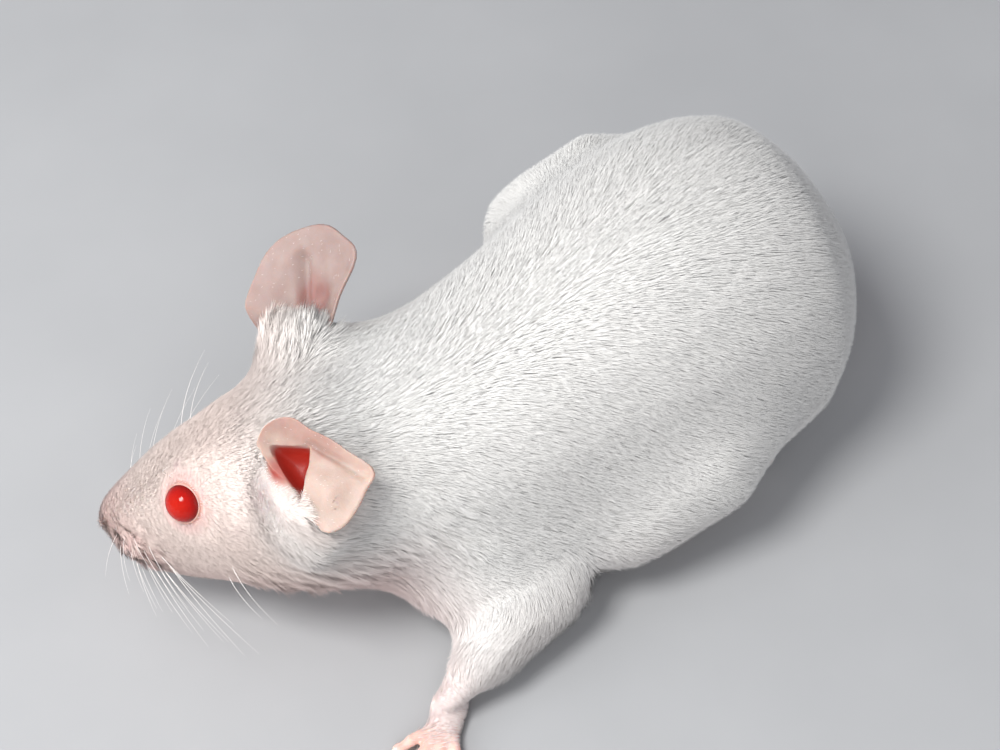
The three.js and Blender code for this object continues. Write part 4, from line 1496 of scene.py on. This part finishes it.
whisker_finish, nodes, links, shader = material("whisker", Roughness=0.35, Specular_IOR_Level=0.5)
streak = colour_ramp(nodes, [(0.3, (0.86, 0.83, 0.80)), (0.7, (0.97, 0.95, 0.93))])
links.new(noise(nodes, links, 400.0), streak.inputs["Fac"])
links.new(streak.outputs["Color"], shader.inputs["Base Color"])

claw_finish, nodes, links, shader = material("claw", Roughness=0.3, Subsurface_Weight=0.3,
                                             Subsurface_Scale=0.0006)
horn = colour_ramp(nodes, [(0.3, (0.80, 0.62, 0.54)), (0.7, (0.90, 0.80, 0.74))])
links.new(noise(nodes, links, 1500.0), horn.inputs["Fac"])
links.new(horn.outputs["Color"], shader.inputs["Base Color"])

scale_finish, nodes, links, shader = material("tail_scale", Roughness=0.42, Subsurface_Weight=0.3,
                                              Subsurface_Scale=0.0008)
ringed = colour_ramp(nodes, [(0.3, (0.74, 0.47, 0.40)), (0.7, (0.86, 0.63, 0.55))])
links.new(noise(nodes, links, 1300.0), ringed.inputs["Fac"])
links.new(ringed.outputs["Color"], shader.inputs["Base Color"])
bump(nodes, links, shader, noise(nodes, links, 6000.0), 0.3, 0.00004)
finishes = (hair_finish, skin_finish, eye_finish, whisker_finish, claw_finish, scale_finish)
print("finishes", [finish.name for finish in finishes])

# %% [markdown]
# ## Whiskers, claws and tail rings
# Whiskers stand in rows on the pads and sweep back in long curves, with a few above the eyes
# and on the cheeks. Each claw hooks down from its toe. The tail carries rings of scales, one
# every half millimetre.


# %% Whiskers
def hair_path(start, way, drop, length, steps=9):
    """A path that leaves start along way and curves towards drop."""
    way, drop = unit(np.array([way], float))[0], np.array(drop, float)
    t = np.linspace(0, 1, steps)[:, None]
    return start + length * (way * t + drop * t**2)


def on_skin(place, way, drop, length):
    """A whisker from the skin nearest to a place of the head."""
    hit = skin_tree.find_nearest(Vector(from_head(np.array(place) * MM)))
    return hair_path(np.array(hit[0]) - np.array(hit[1]) * 0.2 * MM, way, drop, length)


# %% Whiskers on both sides
WHISKER_RADIUS = 0.028 * MM
# Long hairs over the eye and on the cheek: place in the head's frame and length
LONE_HAIRS = [(10.2, 3.6, 6.6, 7.0), (11.0, 4.3, 6.4, 5.5), (13.5, 7.4, -2.5, 6.5), (12.0, 6.6, -4.5, 5.0)]
whisker_paths = []
for sign in (-1, 1):
    for row in range(5):
        for column in range(4):
            if row == 0 and column == 3:
                continue
            place = (2.8 + 1.15 * column + 0.2 * row, sign * (2.6 + 0.55 * column - 0.12 * row),
                     0.1 - 0.8 * row + 0.1 * column)
            up = (0.9 - 0.32 * row) if sign > 0 else (0.15 - 0.2 * row)
            back_way = 0.14 * column if sign > 0 else 0.12 + 0.13 * column
            way = HEAD_AXES @ np.array([back_way + rng.normal(0, 0.07), sign * (0.8 - 0.05 * row),
                                        up + rng.normal(0, 0.07)])
            drop = HEAD_AXES @ np.array([0.22 if sign > 0 else 0.14, 0, -0.05]) + np.array([0, 0, -0.10])
            long = (5.5 + 1.6 * column + rng.uniform(-1.2, 1.2)) * MM
            whisker_paths.append(on_skin(place, way, drop, long))
    for x, y, z, long in LONE_HAIRS:
        way = HEAD_AXES @ np.array([0.25, sign * 0.75, 0.75 if z > 0 else -0.55])
        drop = HEAD_AXES @ np.array([0.30, 0, -0.05])
        whisker_paths.append(on_skin((x, sign * y, z), way, drop, long * MM))
for path in whisker_paths:
    path[:, 2] = np.maximum(path[:, 2], 0.15 * MM)
whiskers = rods("whiskers", whisker_paths, whisker_finish, WHISKER_RADIUS, 0.15, 5)
print("whiskers", len(whisker_paths))

# %% Claws
CLAW_RADIUS = 0.24 * MM
# How far past the toe's last joint each place of a claw lies, and its height
CLAW_STEPS = [(0.15, 0.86), (0.5, 0.86), (0.8, 0.76), (1.1, 0.55), (1.32, 0.3)]
claw_paths = []
for name, (kind, _, _, _) in FEET.items():
    matrix = np.array(foot_matrix(name))
    for joints in toe_joints(kind):
        (x0, y0, _, _), (x1, y1, _, _) = joints[-2], joints[-1]
        run = unit(np.array([[x1 - x0, y1 - y0]]))[0]
        path = [(x1 + run[0] * s, y1 + run[1] * s, z) for s, z in CLAW_STEPS]
        path = (np.array(path) @ matrix[:3, :3].T + matrix[:3, 3]) * MM
        claw_paths.append(path)
claws = rods("claws", claw_paths, claw_finish, CLAW_RADIUS, 0.12, 8)
keep_above_floor(claws.data)
print("claws", len(claw_paths))


# %% The ring tree
def ring_tree(material):
    tree = bpy.data.node_groups.new("tail_rings", "GeometryNodeTree")
    tree.interface.new_socket("Path", in_out="INPUT", socket_type="NodeSocketGeometry")
    for label, value in (("Spacing", 0.0005), ("Ring thickness", 0.0001)):
        tree.interface.new_socket(label, in_out="INPUT", socket_type="NodeSocketFloat").default_value = value
    tree.interface.new_socket("Rings", in_out="OUTPUT", socket_type="NodeSocketGeometry")
    make, wire = tree.nodes.new, tree.links.new
    given = make("NodeGroupInput")
    curve = make("GeometryNodeMeshToCurve")
    radius = make("GeometryNodeSetCurveRadius")
    thick = make("GeometryNodeInputNamedAttribute")
    thick.data_type = "FLOAT"
    thick.inputs["Name"].default_value = "thick"
    even = make("GeometryNodeResampleCurve")
    even.mode = "LENGTH"
    run = make("GeometryNodeInputTangent")
    turn = make("FunctionNodeAlignEulerToVector")
    turn.axis = "Z"
    held = make("GeometryNodeInputRadius")
    circle = make("GeometryNodeCurvePrimitiveCircle")
    circle.inputs["Resolution"].default_value = 16
    circle.inputs["Radius"].default_value = 1.0
    profile = make("GeometryNodeCurvePrimitiveCircle")
    profile.inputs["Resolution"].default_value = 5
    profile.inputs["Radius"].default_value = 0.11
    ring = make("GeometryNodeCurveToMesh")
    put = make("GeometryNodeInstanceOnPoints")
    real = make("GeometryNodeRealizeInstances")
    finish = make("GeometryNodeSetMaterial")
    finish.inputs["Material"].default_value = material
    result = make("NodeGroupOutput")
    wire(given.outputs["Path"], curve.inputs["Mesh"])
    wire(curve.outputs["Curve"], radius.inputs["Curve"])
    wire(thick.outputs["Attribute"], radius.inputs["Radius"])
    wire(radius.outputs["Curve"], even.inputs["Curve"])
    wire(given.outputs["Spacing"], even.inputs["Length"])
    wire(run.outputs["Tangent"], turn.inputs["Vector"])
    wire(circle.outputs["Curve"], ring.inputs["Curve"])
    wire(profile.outputs["Curve"], ring.inputs["Profile Curve"])
    wire(even.outputs["Curve"], put.inputs["Points"])
    wire(ring.outputs["Mesh"], put.inputs["Instance"])
    wire(turn.outputs["Rotation"], put.inputs["Rotation"])
    wire(held.outputs["Radius"], put.inputs["Scale"])
    wire(put.outputs["Instances"], real.inputs["Geometry"])
    wire(real.outputs["Geometry"], finish.inputs["Geometry"])
    wire(finish.outputs["Geometry"], result.inputs["Rings"])
    return tree


# %% Tail rings
RING_SPACING = 0.48 * MM
FIRST_RING = 46  # steps of the tail's path that the rump's fur covers
ring_path = tail_path[FIRST_RING:]
mesh_line = bpy.data.meshes.new("tail_scales")
line_edges = [(i, i + 1) for i in range(len(ring_path) - 1)]
mesh_line.from_pydata([tuple(p[:3]) for p in ring_path], line_edges, [])
add_number(mesh_line, "thick", ring_path[:, 3] * 0.93)
tail_scales = linked("tail_scales", mesh_line)
step = tail_scales.modifiers.new("rings", "NODES")
step.node_group = ring_tree(scale_finish)
for item in step.node_group.interface.items_tree:
    if item.item_type == "SOCKET" and item.in_out == "INPUT" and item.name == "Spacing":
        step[item.identifier] = RING_SPACING
applied(tail_scales)
keep_above_floor(tail_scales.data)
reworked(tail_scales.data, face_outwards)
shade_smooth(tail_scales.data)
print("tail ring faces", len(tail_scales.data.polygons))

# %% [markdown]
# ## Dressing the frame
# Each new piece rides on the one body, and the skin stands for all the solids of flesh. The
# coat, whiskers, claws and tail rings are extra pieces over it.

# %% Finishes and places in the frame
FLESH = BODY_NODES + FEET_NODES + EAR_NODES + TAIL_NODES
skin.data.materials.clear()
skin.data.materials.append(skin_finish)
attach(skin, "root")
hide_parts(*FLESH)
for piece in coat:
    piece.data.materials.append(hair_finish)
    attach(piece, "root")
for side, ball in eyeballs.items():
    ball.data.materials.append(eye_finish)
    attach(ball, "root")
    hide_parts("eye_" + side)
for piece, slot in ((whiskers, "coat"), (claws, "foot"), (tail_scales, "tail")):
    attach(piece, "root")

# %% [markdown]
# ## Studio
# A pale plain floor and three soft round lights: the key above and a little to the side, whose
# reflection is the spark in the eye, and two weaker ones from the side and from the front,
# which open the shadows under the flank and jaw and leave no reflection of their own.

# %% Camera, floor and lights
azimuth, elevation, distance = math.radians(-27), math.radians(52), 0.240
PIXELS_WIDE, PIXELS_PER_METRE = 1000, 11000  # at the animal's back
flat_reach = math.cos(elevation)
back = Vector((math.sin(azimuth) * flat_reach, -math.cos(azimuth) * flat_reach, math.sin(elevation)))
right = Vector((math.cos(azimuth), math.sin(azimuth), 0))
up = back.cross(right)
target = Vector((-0.00086, 0.004345, 0.0127))
camera = linked("camera", bpy.data.cameras.new("camera"))
camera.location = target + back * distance
camera.rotation_euler = (-back).to_track_quat("-Z", "Y").to_euler()
camera.data.sensor_width = 36.0
camera.data.lens = camera.data.sensor_width * distance * PIXELS_PER_METRE / PIXELS_WIDE
camera.data.clip_start = 0.005
bpy.context.scene.camera = camera

bm = bmesh.new()
bmesh.ops.create_grid(bm, x_segments=1, y_segments=1, size=1.5)
floor = object_from("floor", bm)
floor_finish, nodes, links, shader = material("pale_floor", Roughness=0.8, Specular_IOR_Level=0.2)
pale = colour_ramp(nodes, [(0.3, (0.40, 0.405, 0.415)), (0.7, (0.42, 0.425, 0.435))])
links.new(noise(nodes, links, 60.0), pale.inputs["Fac"])
links.new(pale.outputs["Color"], shader.inputs["Base Color"])
floor.data.materials.append(floor_finish)


# %% Lights
def lamp(name, place, size, power, colour):
    light = bpy.data.lights.new(name, "AREA")
    light.shape = "DISK"
    light.size = size
    light.energy = power
    light.color = colour
    made = linked(name, light)
    made.location = place
    made.rotation_euler = (target - place).to_track_quat("-Z", "Y").to_euler()
    return made


lamp("key", target + back * 0.30 - right * 0.12 + up * 0.10, 0.13, 0.95, (1.0, 0.99, 0.97))
side_place = target + back * 0.16 - right * 0.26 - up * 0.02
side_light = lamp("side_light", side_place, 0.20, 0.4, (0.98, 0.99, 1.0))
front_place = target + back * 0.34 - right * 0.06 - up * 0.18
front_light = lamp("front_light", front_place, 0.20, 0.45, (1.0, 0.99, 0.98))
side_light.visible_glossy = front_light.visible_glossy = False
world = bpy.data.worlds.new("studio")
world.use_nodes = True
sky = world.node_tree.nodes["Background"]
sky.inputs["Color"].default_value = (0.92, 0.94, 1.0, 1)
sky.inputs["Strength"].default_value = 0.48
bpy.context.scene.world = world
bpy.context.scene.view_settings.view_transform = "Standard"
